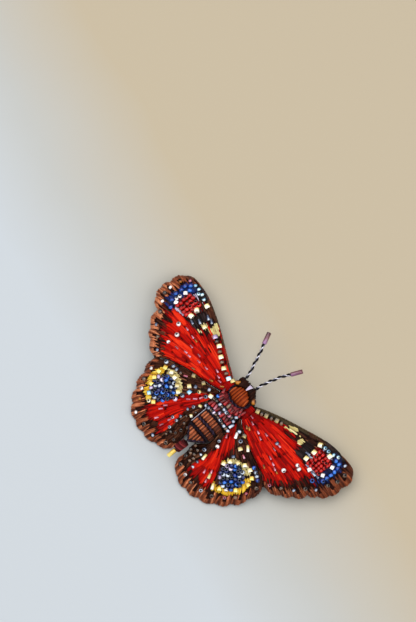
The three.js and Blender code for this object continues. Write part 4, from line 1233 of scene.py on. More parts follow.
# %% Places of the beads on the fields
WING_BEADS = {
    "forewing_left": [
        ("pearl", "square", 1.25, [(-34.7, 11.6), (-34.4, 7.6)]),
        ("pearl", "round", 1.4, [(-28.8, 3.9), (-26.6, 1.4)]),
        ("pearl", "round", 1.15, [(-35.1, 9.7), (-35.2, 8.5), (-26.6, -2)]),
        ("blue", "round", 1.5, [(-35.5, 14.3), (-36.3, 11.4), (-36.7, 9.4), (-35.8, 7.2), (-34.4, 5.5),
                                (-36.5, 13), (-34.6, 13.2)]),
        ("sky", "round", 1.15, [(-34.6, 15.5), (-33, 15.5), (-31.1, 15.2), (-29.6, 14.6), (-32, 14.5)]),
        ("cream", "square", 1.5, [(-27.4, 14), (-28.5, 10.8), (-28.2, 8.4), (-23.1, 9.3)]),
        ("silver", "tube", 1.0, [(-24.5, 12), (-23, 12), (-25.3, 9.2), (-26.7, 7.4)]),
        ("rose", "tube", 0.7, [(-26, 4.9), (-23, 4.6), (-21, 2.4), (-20.8, 0), (-19.2, 0), (-23.6, -1.2),
                               (-17.4, 2.4), (-16, 1.1), (-13, 1.5), (-10.2, 3.5), (-8.6, 2.6), (-7.3, 2)]),
        ("amber", "tube", 0.72, [(-21.5, 4.6), (-15.4, -1.6), (-9.1, 0.2), (-5.6, 1.5)]),
    ],
    "forewing_right": [
        ("pearl", "square", 1.25, [(34.8, 11), (34.8, 7.3), (30.9, 5.3)]),
        ("pearl", "round", 1.4, [(28.7, 3), (26, -0.8)]),
        ("pearl", "round", 1.2, [(27.5, 3.4)]),
        ("blue", "round", 1.5, [(34, 13.2), (35.4, 13.2), (36.2, 10.7), (36.3, 9.2), (36.2, 7.7), (36, 6.2),
                                (33.9, 3.8), (36, 12.1)]),
        ("sky", "round", 1.15, [(28.9, 13.2), (30.3, 13.3), (33.6, 14.4), (32.2, 13.8)]),
        ("cream", "square", 1.5, [(27.3, 12.7), (31.8, 12.6), (27.7, 9.8), (27.6, 6.8)]),
        ("silver", "tube", 1.0, [(26.8, 8.1), (28, 8), (32.6, 5.4), (33.8, 5.7)]),
        ("silver", "round", 1.3, [(18.4, 3)]),
        ("rose", "tube", 0.7, [(19.3, 1.2), (14, 0.1), (9, 1.3), (14.3, 2.2), (22.5, -2), (24, -2.6),
                               (19.5, 3), (20.5, -1.4), (12.2, 0.8), (7.4, 2.4)]),
        ("amber", "tube", 0.72, [(25, -2.8), (8.8, -0.8), (21.3, -4.6), (9.6, -0.5)]),
    ],
    "hindwing_left": [
        ("cream", "square", 1.38, [(-19, -7.3), (-17, -7.6), (-14.8, -8.6), (-13.1, -9.7), (-12.1, -5.9),
                                  (-5.5, -3)]),
        ("gold", "square", 1.38, [(-21.3, -7.8), (-21.6, -9.9), (-21.3, -12.1), (-20.4, -14),
                                  (-15.9, -17.1)]),
        ("straw", "square", 1.3, [(-13.6, -2.8), (-10, -2)]),
        ("sky", "square", 1.3, [(-18.8, -16.3), (-10.7, -7.1)]),
        ("cream", "round", 1.3, [(-17, -17.8), (-4.9, -11.3), (-8.8, -4.8), (-5.3, -7.4)]),
        ("silver", "round", 1.35, [(-22.3, -6.4), (-20, -5.6), (-18.5, -5.5), (-7.4, -2), (-10.8, -4.6),
                                   (-6.4, -4.2), (-11.3, -9.3)]),
        ("lilac", "round", 1.5, [(-12, -11.6)]),
        ("rose", "tube", 0.78, [(-15.2, -4.8), (-7, -5.5), (-8, -7.1), (-9.3, -8.7), (-12.6, -15),
                                (-12.8, -16.7), (-11.6, -19.4), (-9, -19.6), (-8.5, -16.8)]),
        ("silver", "round", 1.05, [(-6.5, -9), (-7.2, -10.7), (-7, -13.7), (-6.9, -15.4), (-8.4, -15.6),
                                   (-6.8, -18.2)]),
        ("coffee", "round", 1.3, [(-3.7, -16.2), (-5.4, -18.9), (-16.9, -5.4), (-4.6, -14.2)]),
        ("coffee", "round", 1.0, [(-4.7, -9.6), (-5.8, -12.4), (-4.2, -18), (-3, -19.7), (-5.9, -20.3),
                                  (-3, -14.4)]),
    ],
    "hindwing_right": [
        ("cream", "square", 1.38, [(17.3, -8.8), (19.4, -8.5), (15.2, -9.8), (13.4, -11.3), (12.5, -13.1),
                                  (12.6, -6.6)]),
        ("gold", "square", 1.38, [(21.6, -9.7), (22.3, -11.7), (21, -15.5), (17.4, -19)]),
        ("straw", "square", 1.3, [(10.4, -3.2)]),
        ("pearl", "round", 1.3, [(19, -17.6), (7.4, -11.3)]),
        ("cream", "tube", 1.2, [(15.5, -20), (12.4, -18.6), (7.1, -16.2), (14, -4.8)]),
        ("pearl", "tube", 1.15, [(8.7, -4.9)]),
        ("silver", "round", 1.35, [(8.3, -3.4), (10.8, -5), (21, -7.6), (22.1, -8.1), (12.9, -9.6),
                                   (5.4, -14.7)]),
        ("blue", "round", 1.3, [(23.2, -8.7), (19.6, -7.1)]),
        ("silver", "round", 1.05, [(6.5, -9.8), (6.7, -18.7), (7, -20.7), (5.8, -16.5)]),
        ("rose", "tube", 0.78, [(15, -7.3), (12.8, -20.4), (10.4, -18.9), (6.9, -7.2), (11.9, -17.4)]),
        ("coffee", "round", 1.3, [(2.5, -17.7), (3.3, -18.5), (4.4, -17.9), (4.9, -20.2), (3.1, -20),
                                  (4.1, -16.4), (2.6, -15.9), (5.2, -18.9)]),
    ],
}
for name, rows in WING_BEADS.items():
    print(name, "beads on the field:", sum(len(places) for *_, places in rows))

# %% [markdown]
# A close row of beads follows the front edge of each forewing, and each scallop of a border holds one
# bead in the hollow of its copper fan. These lists give a bead's glass and its place.

# %% Places of the beads along the edges
FRONT_ROWS = {
    "forewing_left": [("lilac", -18.6, 9.8), ("coffee", -17.2, 9.2), ("cream", -15.6, 8.9),
                      ("coffee", -14.2, 7.9), ("cream", -12.7, 7.1), ("coffee", -11.3, 6.3),
                      ("cream", -9.5, 5.5), ("coffee", -7.8, 5.1), ("sky", -6.1, 4.6),
                      ("straw", -4.8, 5.1)],
    "forewing_right": [("straw", 7.2, 4.9), ("coffee", 8.6, 5.3), ("straw", 9.9, 6), ("coffee", 11.5, 6.7),
                       ("straw", 13.1, 7.5), ("coffee", 14.6, 8)],
}
BORDER_BEADS = {
    "forewing_left": [("rose", -36.9, 15.3), ("amber", -38.6, 12.9), ("pearl", -39.2, 9.4),
                      ("coffee", -39, 7), ("pearl", -37.5, 4.8), ("coffee", -35.3, 2.2),
                      ("silver", -33.2, -1.2), ("coffee", -29.9, -3.4), ("silver", -27, -6)],
    "forewing_right": [("silver", 36.8, 14.4), ("coffee", 39, 9.4), ("coffee", 38, 6.5),
                       ("silver", 36.7, 3), ("coffee", 34.4, 0.6), ("silver", 32.5, -2.3),
                       ("coffee", 29.6, -4.8), ("rose", 26.6, -6.9), ("coffee", 38.9, 12.4)],
    "hindwing_left": [("pearl", -24, -11), ("coffee", -22.9, -14.6), ("pearl", -21.4, -17),
                      ("amber", -19.4, -19.4), ("pearl", -17, -23), ("coffee", -12.6, -23.3),
                      ("silver", -8.4, -23.6), ("coffee", -4, -22)],
    "hindwing_right": [("coffee", 24.6, -10.4), ("rose", 23.8, -13.7), ("coffee", 22.5, -16.9),
                       ("rose", 20.4, -19.4), ("coffee", 17.4, -22), ("silver", 14, -23.4),
                       ("coffee", 10.2, -24.2), ("pearl", 7.3, -23.9), ("coffee", 4, -22.8)],
}
print("beads along the borders:", {name: len(beads) for name, beads in BORDER_BEADS.items()})

# %% [markdown]
# A bead on the field lies on the padding, sunk a little between the strands. A square one is turned and
# tipped a little by chance, and a round one can tip until its hole shows. A tube lies along the stitches,
# deeper among them. A border bead lies lower still.

# %% Sewing beads on the wings
SEED_WIDTH = 1.45
BORDER_BEAD_WIDTH = {"pearl": 1.1, "rose": 1.1, "silver": 1.2, "amber": 1.2}
BORDER_BEAD_HEIGHT = 2.4
FIELD_BEAD_HEIGHT = FIELD_THICK + 0.25
FRONT_BEAD_HEIGHT = FIELD_THICK + 0.1
FRONT_BEAD = (1.5, 1.4)  # width and length
TUBE_SHAPE = (0.8, 1.7)  # width and length of a tube as shares of its listed width
FORE_ROOT = (4.5, 2.5)  # where the stitches of a right wing start
HIND_ROOT = (4.5, -3.5)


def on_wing(x, y, above):
    return (x, y, back_height(x, y) + above)


def on_forewing(x, y):
    """Forewing and hindwing meet along a line that rises a little outwards."""
    return y > 0.16 * abs(x) - 8.2


def root_turn(x, y):
    """Direction of the stitches that pass through a place: away from the wing's root."""
    root_x, root_y = FORE_ROOT if on_forewing(x, y) else HIND_ROOT
    return math.atan2(y - root_y, x - math.copysign(root_x, x))


def sewn(kind, x, y, width, above=FIELD_BEAD_HEIGHT):
    if kind == "tube":
        centre = on_wing(x, y, FIELD_THICK + width * 0.25)
        return (kind, centre, bead_axis(root_turn(x, y), 0), width * TUBE_SHAPE[0], width * TUBE_SHAPE[1])
    turn = root_turn(x, y) + chance.uniform(-0.5, 0.5)
    lean = chance.uniform(-0.25, 0.25) if kind == "square" else chance.uniform(-0.4, 1.2)
    return (kind, on_wing(x, y, above), bead_axis(turn, lean), width, width)


def front_bead(name, colour, x, y):
    kind = "round" if colour == "coffee" else "square"
    turn = heading(WINGS[name]["front"], 0.25) + chance.uniform(-0.12, 0.12)
    return (kind, on_wing(x, y, FRONT_BEAD_HEIGHT), bead_axis(turn, 0), *FRONT_BEAD)


def wing_beads(name):
    """The beads of a wing, by the colour of their glass."""
    groups = {}
    for colour, kind, width, places in WING_BEADS[name]:
        groups.setdefault(colour, []).extend(sewn(kind, x, y, width) for x, y in places)
    for colour, x, y in FRONT_ROWS.get(name, []):
        groups.setdefault(colour, []).append(front_bead(name, colour, x, y))
    for colour, x, y in BORDER_BEADS[name]:
        width = BORDER_BEAD_WIDTH.get(colour, SEED_WIDTH)
        groups.setdefault(colour, []).append(sewn("round", x, y, width, BORDER_BEAD_HEIGHT))
    return groups


for name in WINGS:
    for colour, beads in wing_beads(name).items():
        lay_beads(f"{name}_{colour}_beads", beads, GLASS[colour])

# %% [markdown]
# The apex eyespots are blocks of small ruby beads in five rows. The hindwing eyespots are close clusters
# of ink, blue, silver and lilac beads, sewn in rings with their holes pointing every way, so that some
# show as little loops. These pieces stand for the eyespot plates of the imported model.

# %% Eyespots
APEX = {  # the middle of the block, which way is outwards, the columns and their pitch
    "forewing_left": (-31.4, 9.9, -1, 4, 1.36),
    "forewing_right": (31.2, 8.9, 1, 5, 1.17),
}
APEX_ROWS = 5
APEX_ROW_PITCH = 1.2
APEX_JITTER = 0.2
APEX_BEAD_MORE = 0.16  # how much wider a bead is than the pitch of the columns
CLUSTER_RINGS = [(1, 0.0), (6, 1.3), (12, 2.55), (16, 3.6)]  # beads and radius of each ring
CLUSTER_BEAD = 1.42
CLUSTER_HEIGHT = FIELD_THICK + 0.2
CLUSTER_COLOURS = ["ink", "blue", "ink", "silver", "ink", "blue", "ink", "lilac", "ink", "silver", "ink",
                   "blue", "ink"]

for name, (x0, y0, outwards, columns, pitch) in APEX.items():
    beads = []
    for row in range(APEX_ROWS):
        for k in range(columns):
            x = x0 + outwards * (k - (columns - 1) / 2) * pitch
            x += chance.uniform(-APEX_JITTER, APEX_JITTER)
            y = y0 + ((APEX_ROWS - 1) / 2 - row) * APEX_ROW_PITCH
            y += chance.uniform(-APEX_JITTER, APEX_JITTER)
            beads.append(sewn("round", x, y, pitch + APEX_BEAD_MORE))
    lay_beads(f"{name}_ruby_beads", beads, GLASS["ruby"], [f"{name}_eyespot"])


def cluster(spot):
    """The beads of a hindwing eyespot by colour. The colours follow one another from ring to ring."""
    groups = {}
    colours = itertools.cycle(CLUSTER_COLOURS)
    for count, radius in CLUSTER_RINGS:
        for k in range(count):
            turn = 2 * math.pi * k / count + radius
            x = spot["x"] + radius * math.cos(turn) + chance.uniform(-0.1, 0.1)
            y = spot["y"] + radius * math.sin(turn) + chance.uniform(-0.1, 0.1)
            lean = chance.uniform(-0.2, 1.5)
            centre = on_wing(x, y, CLUSTER_HEIGHT + chance.uniform(-0.1, 0.15))
            axis = bead_axis(chance.uniform(0, 2 * math.pi), lean)
            groups.setdefault(next(colours), []).append(("round", centre, axis, CLUSTER_BEAD, CLUSTER_BEAD))
    return groups


for name, spot in EYESPOTS.items():
    for colour, beads in cluster(spot).items():
        replaced = [f"{name}_eyespot"] if colour == "ink" else []
        lay_beads(f"{name}_eyespot_{colour}", beads, GLASS[colour], replaced)

# %% [markdown]
# The body lies between the wings on a strip of felt. Seen from above, a neck line parts the head from the
# thorax and a waist line parts the thorax from the band of beads. The front of the head is straight on
# the left and slants back on the right.

# %% Outlines of the body
AXIS_X = 0.4  # the body lies a little to the right of the butterfly's middle
NECK_Y = 5.9
WAIST_Y = 0.5
HEAD_FRONT = 8.6
HEAD_SLOPE_FROM = 2.0
HEAD_SLOPE = 1.05
BAND_FROM = -6.4
BAND_TO = 2.2
ABDOMEN_BANDS = [(-6.75, -9.35), (-10.25, -12.35)]
POINT_FROM = -13.25
POINT_TIP = -17.2


def neck_edge(x):
    return NECK_Y - 0.1 * (x - AXIS_X) ** 2


def waist_edge(x):
    return WAIST_Y + 0.13 * (x - AXIS_X) ** 2


def head_front(x):
    slant = HEAD_SLOPE * max(0.0, x - HEAD_SLOPE_FROM)
    return HEAD_FRONT - slant - 0.6 * smooth(-3.2, -4.1, x)


def band_right(y):
    """The right end of the band of beads, which lies farther out towards the tail."""
    return 4.95 + 0.95 * clamp01((-0.6 - y) / 5.8)


def point_edge(x):
    """The pointed end of the abdomen."""
    return min(POINT_FROM - 0.3, POINT_TIP + abs(x - AXIS_X - 0.1) * 1.02)


print("length of the body along its axis:", round(head_front(AXIS_X) - point_edge(AXIS_X), 2), "mm")

# %% [markdown]
# Each part of the body is a dome over the felt strip: high on the axis and lower to the sides. The rise
# along the thorax and the head is given by a few stations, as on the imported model.

# %% Surfaces of the body
BODY_Z = 5.35
THORAX_HALF = 3.6
HEAD_HALF = 4.4
ABDOMEN_HALF = 3.8
BAND_HALF = 4.6
DOME_FALL = 0.8
ABDOMEN_RISE = 3.15
BAND_RISE = (1.5, 2.2)  # at its edges and inside them
THORAX_RISE = [(0, 1.6), (0.12, 2.6), (0.3, 3.2), (0.6, 3.7), (0.9, 3.4), (1, 2.6)]
HEAD_RISE = [(0, 2.7), (0.25, 3), (0.6, 2.9), (0.88, 2.3), (1, 1.2)]


def dome(x, half):
    return math.sqrt(1 - DOME_FALL * clamp01(abs(x - AXIS_X) / half) ** 2)


def profile(stops, t):
    return float(np.interp(t, [a for a, _ in stops], [b for _, b in stops]))


def thorax_top(x, t):
    y = mix(waist_edge(x), neck_edge(x) - GAP / 2, t)
    return x, y, BODY_Z + profile(THORAX_RISE, t) * dome(x, THORAX_HALF * 1.05)


def head_top(x, t):
    y = mix(neck_edge(x) + GAP / 2, head_front(x), t)
    return x, y, BODY_Z + profile(HEAD_RISE, t) * dome(x, HEAD_HALF)


def body_top(x, y):
    """The surface of the thorax up to the neck line, and of the head beyond it."""
    waist, neck = waist_edge(x), neck_edge(x)
    if y < neck:
        return thorax_top(x, clamp01((y - waist) / (neck - waist)))[2]
    return head_top(x, clamp01((y - neck) / (head_front(x) - neck)))[2]


def abdomen_top(x, y):
    """The surface of the abdomen, which sinks towards its point and at its right side."""
    rise = ABDOMEN_RISE - 0.5 * smooth(-13.5, -17, y)
    return BODY_Z + rise * dome(x, ABDOMEN_HALF * 1.03) - 1.1 * smooth(4.1, 4.8, x)


def band_top(x, y):
    edge = smooth(0, 0.8, min(y - BAND_FROM, 2.0 - y))
    return BODY_Z + mix(*BAND_RISE, edge) * dome(x, 6.2)


print("height of the thorax over the table:", round(body_top(AXIS_X, 3), 2), "mm")

# %% [markdown]
# Under the threads the parts of the body are pads of wool, stitched down on the felt strip. Only the
# wrapping shows, so the pads are simple domes of dark cloth a little under it.

# %% Body pads
UNDER_WRAP = 0.3


def add_body_pad(name, rows, columns, plan, floor, finish, replaced):
    """plan gives x, y, z from two shares: u from left to right and v from the tail to the head."""
    grid = domed_grid(columns, rows, plan, lambda x, y: floor)[0]
    pad = put(name, mesh_in_metres(grid, name), finish, replaced)
    print(name, len(pad.data.polygons), "faces")


def lowered(point):
    return (point[0], point[1], point[2] - UNDER_WRAP)


def across(u, half):
    return AXIS_X + half * (2 * u - 1)


def thorax_plan(u, v):
    return lowered(thorax_top(across(u, THORAX_HALF), v))


def head_plan(u, v):
    return lowered(head_top(across(u, HEAD_HALF - 0.3), v))


def abdomen_plan(u, v):
    x = across(u, ABDOMEN_HALF)
    y = mix(point_edge(x), ABDOMEN_BANDS[0][0], v)
    return lowered((x, y, abdomen_top(x, y)))


def band_plan(u, v):
    y = mix(BAND_FROM, min(waist_edge(across(u, BAND_HALF)) - GAP, BAND_TO), v)
    x = mix(-BAND_HALF, band_right(y), u)
    return lowered((x, y, band_top(x, y) + 0.1))


add_body_pad("thorax_pad", 20, 24, thorax_plan, BODY_Z, GROUND, ["thorax"])
add_body_pad("head_pad", 20, 24, head_plan, BODY_Z, GROUND, ["head"])
add_body_pad("abdomen_pad", 40, 24, abdomen_plan, BODY_Z, GROUND, ["abdomen"])
add_body_pad("bead_band_pad", 20, 24, band_plan, BODY_Z, THREADS["maroon"], ["bead_band"])

# %% [markdown]
# The felt strip joins the four wings. It is cut a little wider than the body, so its outline is given by
# stations along each side, and it is as thick as one layer of stiff felt.

# %% Felt strip
FELT_FROM = -16.8
FELT_TO = 7.8
FELT_LEFT = [(FELT_FROM, 0.3), (-15, -1.7), (-13.4, -3.3), (-12.6, -3.7), (-7.7, -3.8), (-6.4, -5),
             (5.5, -5), (FELT_TO, -2.2)]
FELT_RIGHT = [(FELT_FROM, 0.6), (-13.4, 4.2), (-12.6, 4.75), (-7.7, 4.85), (-6.6, 6.3), (-0.3, 5.35),
              (5.2, 5.35), (FELT_TO, 3)]


def felt_plan(u, v):
    y = mix(FELT_FROM, FELT_TO, v)
    return (mix(profile(FELT_LEFT, y), profile(FELT_RIGHT, y), u), y, BODY_Z - GAP / 2)


add_body_pad("body_felt", 40, 12, felt_plan, BACK_Z, FELT, ["body_backing"])

# %% [markdown]
# Thread runs lengthwise over every part of the body. One helper lays it between two lines, on the surface
# of the part, and lets it rise and sink a little across the body, so that it shows bundles. The tint
# follows the same bundles.

# %% Lengthwise wrapping
WRAP_PITCH = 0.29
WRAP_WIDTH = 0.36
WRAP_HEIGHT = 0.38
WRAP_DIVE = 0.3
BUNDLE_TURNS = 6.4


def lengthwise(xs, low, high, top, width, tint_of, ragged=0.0, lift=0.04, pinch=0.0, relief=0.0):
    """Strands along the body from y = low(x) to y = high(x), on the surface z = top(x, y)."""
    strands = []
    for x in xs:
        start = low(x) + chance.uniform(-ragged, ragged)
        end = high(x) + chance.uniform(-ragged, ragged)
        points = []
        for t in np.linspace(0, 1, STRAND_RINGS):
            px, y = mix(x, mix(x, AXIS_X, pinch), t), mix(start, end, t)
            rise = lift + relief * math.sin(x * BUNDLE_TURNS)
            points.append((px, y, top(px, y) + rise - WRAP_DIVE * near_ends(t, 0.14)))
        strands.append((points, width * chance.uniform(0.8, 1.2), WRAP_HEIGHT, clamp01(tint_of(x))))
    return strands


def spaced(low, high, pitch):
    """Places across the body, a pitch apart and a little uneven."""
    count = int((high - low) / pitch)
    return [low + (high - low) * (k + 0.5) / count + chance.uniform(-0.05, 0.05) for k in range(count)]


def bundled_tint(x):
    return 0.5 + 0.4 * math.sin(x * BUNDLE_TURNS) + chance.uniform(-0.2, 0.2)


print("bundles across the thorax:", round(2 * THORAX_HALF * BUNDLE_TURNS / (2 * math.pi), 1))

# %% [markdown]
# The thorax is russet, and its threads reach into the head as a pointed shield. The abdomen is copper in
# two bands and a pointed end, bright on the left and in the middle and darker on the right.

# %% Thorax and abdomen
def shield_top(x):
    return 6.5 - 0.2 * (x - 0.3) ** 2


def abdomen_tint(x):
    return bundled_tint(x) - 0.12 - 0.46 * smooth(1.7, 3.0, x)


russet = lengthwise(spaced(-3.2, 3.7, WRAP_PITCH), lambda x: waist_edge(x) + GAP, shield_top, body_top,
                    WRAP_WIDTH, bundled_tint, ragged=0.3, lift=0.14, pinch=0.1, relief=0.1)
lay_strands("thorax_russet_wrapping", russet, THREADS["russet"])

copper = []
for top, low in ABDOMEN_BANDS:
    copper += lengthwise(spaced(-3.2, 4.8, WRAP_PITCH), lambda x: low, lambda x: top, abdomen_top,
                         WRAP_WIDTH, abdomen_tint, ragged=0.1, relief=0.08)
copper += lengthwise(spaced(-2.5, 3.5, WRAP_PITCH), lambda x: point_edge(x) + 0.25,
                     lambda x: POINT_FROM - 0.1, abdomen_top, WRAP_WIDTH, abdomen_tint, ragged=0.08,
                     relief=0.08)
lay_strands("abdomen_copper_wrapping", copper, THREADS["copper"])

# %% [markdown]
# Maroon threads cover the front of the bead band, where it meets the thorax. The head is dark brown
# thread in two layers, which starts behind the left eye and at the edge of the shield. A fan of lilac
# floss makes the pale notch in its middle.

# %% Band and head
EYE_BACK_Y = 6.9
PALE_NOTCH_FOOT = (0.2, 5.9)
PALE_NOTCH_TOP = 8.45
PALE_NOTCH_TOPS_X = (-0.15, 0.08, 0.32, 0.56, 0.8, 1.02)

maroon = lengthwise(spaced(-4.4, 5.0, 0.3), lambda x: -1.6, lambda x: min(waist_edge(x) - 0.1, 1.8),
                    band_top, 0.38, lambda x: chance.uniform(0.2, 0.9), ragged=0.2, lift=0.0)
lay_strands("band_maroon_threads", maroon, THREADS["maroon"])


def head_from(x):
    return EYE_BACK_Y if x < -2.8 else shield_top(x) - 0.1


def head_to(x):
    return head_front(x) if x < 3.5 else head_front(x) - 0.9


dark = []
for lift in (0.0, 0.12):
    dark += lengthwise(spaced(-3.95, 4.6, 0.3), head_from, head_to, body_top, WRAP_WIDTH,
                       lambda x: chance.uniform(0.0, 0.5), ragged=0.3, lift=lift)
lay_strands("head_dark_threads", dark, THREADS["dark"])

notch = []
for x_top in PALE_NOTCH_TOPS_X:
    points = []
    for t in np.linspace(0, 1, STRAND_RINGS):
        x, y = mix(PALE_NOTCH_FOOT[0], x_top, t), mix(PALE_NOTCH_FOOT[1], PALE_NOTCH_TOP, t)
        points.append((x, y, body_top(x, y) + 0.32 - 0.2 * (1 - smooth(0, 0.1, t))))
    notch.append((points, 0.27, 0.26, chance.uniform(0.4, 0.9)))
lay_strands("head_lilac_notch", notch, THREADS["lilac"])

# %% [markdown]
# Red floss joins the roots of the forewings to the thorax. On the left it catches the light, on the right
# it lies in the shade of the thorax; both are painted into its tint, which is higher on the left than on
# the right.

# %% Wing roots
# Each side: x at the wing and at the body, y from and to, and the middle tint, painted high on the left
# as painted light and low on the right as painted shade.
ROOTS = {"left": (-6.2, -3.3, 0.9, 5.1, 0.5), "right": (6.6, 3.9, 0.3, 4.7, 0.15)}
ROOT_Z = BODY_Z + 1.15

for side, (x_wing, x_body, low, high, painted_light_tint) in ROOTS.items():
    floss = []
    for y in spaced(low, high, 0.24):
        slant = 0.3 * (y - (low + high) / 2) / (high - low)
        path = [(mix(x_wing, x_body, t), y - slant * t, ROOT_Z - 0.25 * near_ends(t, 0.2))
                for t in np.linspace(0, 1, STRAND_RINGS)]
        floss.append((path, 0.34, 0.32, clamp01(painted_light_tint + chance.uniform(-0.3, 0.3))))
    lay_strands(f"root_{side}_red_floss", floss, THREADS["red"])

# %% [markdown]
# Purple-black cords lie in the grooves of the abdomen, round its pointed end and round the thorax.

# %% Body cords
BODY_CORD_PITCH = 1.5
CORD_LIFT = 0.1
THORAX_CORD_HALF = 3.7
THORAX_CORD_FRONT = 4.3
THORAX_CORD_DEPTH = 3.55


def across_abdomen(y):
    points = []
    for x in np.linspace(-3.4, 4.2, 30):
        sunk = 0.4 * smooth(3.1, 3.9, abs(x - AXIS_X))
        points.append((x, y + 0.05 * math.sin(x), abdomen_top(x, y) + CORD_LIFT - sunk))
    return points


def round_thorax():
    points = []
    for turn in np.linspace(-0.12, math.pi, 48):
        x = AXIS_X - THORAX_CORD_HALF * math.cos(turn)
        bow = THORAX_CORD_DEPTH * max(0.0, math.sin(turn)) ** 0.7
        y = THORAX_CORD_FRONT - bow + 5 * max(0.0, -turn)
        points.append((x, y, body_top(x, y) + 0.12))
    return points


def round_point():
    points = []
    for x in np.linspace(-3.2, 4.1, 40):
        y = point_edge(x) + 0.1 if abs(x - AXIS_X - 0.1) < 3.6 else POINT_FROM
        points.append((x, y, abdomen_top(x, y) - 0.15))
    return points


BODY_CORDS = [(across_abdomen(-9.8), 0.24), (across_abdomen(-12.8), 0.26), (across_abdomen(-6.5), 0.2),
              (round_point(), 0.2), (round_thorax(), 0.3)]  # centre line and radius
cords = []
for centres, radius in BODY_CORDS:
    for path in cord_paths(centres, radius, BODY_CORD_PITCH):
        cords.append((path, radius + 0.2, radius + 0.2, chance.random()))
lay_strands("body_purple_cords", cords, THREADS["purple"], end_scale=CORD_END)

# %% [markdown]
# A band of beads crosses the body between thorax and abdomen: short garnet tubes stand in rows, with
# rows of silver, brown and lilac seed beads between them.

# %% Band of beads
BAND_ROWS = [  # y, glass, kind, and x of each bead
    (0.9, "garnet", "tube", [-4.2, 4.0, 4.9]),
    (-0.2, "garnet", "tube", [-3.4, 3.6, 4.7]),
    (-1.1, "garnet", "tube", [-2.8, -1.8, -0.8, 1.4, 2.4]),
    (-0.9, "coffee", "tube", [0.3]),
    (-1.3, "blue", "round", [-4.1]),
    (-1.4, "silver", "round", [4.5]),
    (-2.6, "silver", "round", [-1.8, 0.4, 1.3, 4.7]),
    (-2.6, "coffee", "round", [-0.7, 3.7]),
    (-2.7, "rose", "round", [2.8]),
    (-2.7, "coffee", "round", [-4.2, -3.1]),
    (-4.2, "rose", "tube", [-2.0]),
    (-4.2, "garnet", "tube", [-4.0, -3.0, -0.9, 1.3, 2.3, 3.3, 4.3]),
    (-4.3, "lilac", "round", [0.3]),
    (-4.2, "silver", "tube", [5.6]),
    (-5.8, "silver", "round", [-4.2, -3.1, 1.9, 4.0, 5.9]),
    (-5.8, "coffee", "round", [-2.1, -0.1, 0.9, 3.0, 5.0]),
    (-5.8, "lilac", "round", [-1.1]),
]
BAND_TUBE = (0.98, 1.75)
BAND_SEED = (1.3, 1.3)
BAND_BEADS_TO = 1.6  # beads farther forward lie as high as those on this line


def band_bead(kind, x, y):
    x += chance.uniform(-0.12, 0.12)
    y += chance.uniform(-0.16, 0.16)
    centre = (x, y, band_top(x, min(y, BAND_BEADS_TO)) + chance.uniform(0.1, 0.25))
    turn = math.pi / 2 + chance.uniform(-0.35, 0.35)
    if kind == "tube":
        return (kind, centre, bead_axis(turn, 0), *BAND_TUBE)
    return (kind, centre, bead_axis(chance.uniform(0, math.pi), chance.uniform(-0.3, 0.9)), *BAND_SEED)


band_beads = {}
for y, colour, kind, xs in BAND_ROWS:
    band_beads.setdefault(colour, []).extend(band_bead(kind, x, y) for x in xs)
for colour, beads in band_beads.items():
    lay_beads(f"band_{colour}_beads", beads, GLASS[colour])

# %% [markdown]
# Two amber beads are the eyes. A bright twisted wire is couched along the left flank of the abdomen,
# which means that it lies on the threads and is held down by small stitches.

# %% Eyes and couched wire
EYES = {"left": ((-3.35, 6.1, 6.95), 2.4), "right": ((4.15, 5.75, 6.95), 0.7)}  # centre and turn
EYE_LEAN = 0.35
EYE_WIDTH = 1.95
EYE_LENGTH = 1.7
COUCHED_X = -3.5
COUCHED_Z = BODY_Z + 1.95
COUCHED_WIDTH = 0.17

for side, (centre, turn) in EYES.items():
    eye = ("round", centre, bead_axis(turn, EYE_LEAN), EYE_WIDTH, EYE_LENGTH)
    lay_beads(f"eye_bead_{side}", [eye], GLASS["amber"], [f"eye_{side}"])

couched_line = [(COUCHED_X, y, COUCHED_Z) for y in np.linspace(-6.5, -12.3, 20)]
wires = [(path, COUCHED_WIDTH, COUCHED_WIDTH, chance.random())
         for path in cord_paths(couched_line, 0.09, 0.9)]
lay_strands("abdomen_couched_wire", wires, WIRE_SILVER, end_scale=CORD_END)

# %% [markdown]
# The tail is a roll wrapped with maroon thread in three plies, and it ends in one gold tube.

# %% Tail
TAIL_FROM = np.array([0.2, -17.6, 5.7])
TAIL_JOIN = np.array([-0.2, -21.1, 4.3])
TAIL_END = np.array([-0.35, -24.3, 3.2])
TAIL_CORE_WIDTH = 2.1
TAIL_CORD_WIDTH = 0.52

core_line = [tuple(mix(TAIL_FROM, TAIL_JOIN, t)) for t in np.linspace(0, 1, 12)]
core = [(core_line, TAIL_CORE_WIDTH, TAIL_CORE_WIDTH, 0.3)]
lay_strands("tail_roll_core", core, THREADS["maroon"], sides=12, end_scale=CORD_END,
            replaced=["tail_roll"])
coil = [(path, TAIL_CORD_WIDTH, TAIL_CORD_WIDTH, chance.random())
        for path in cord_paths(core_line, 1.1, 1.5, plies=3)]
lay_strands("tail_roll_wrapping", coil, THREADS["maroon"], end_scale=CORD_END)
tail_axis = Vector(TAIL_END - TAIL_JOIN)
tail_middle = tuple((TAIL_JOIN + TAIL_END) / 2 + np.array([0, -0.15, -0.05]))
gold_tube = ("tube", tail_middle, tail_axis.normalized(), 1.4, tail_axis.length - GAP)
lay_beads("tail_gold_tube", [gold_tube], GLASS["gold"], ["tail_bead"])

# %% [markdown]
# Each antenna is a black wire and a bright silver wire twisted together, rising from the head and
# pushed into a purple glass tube at its end.

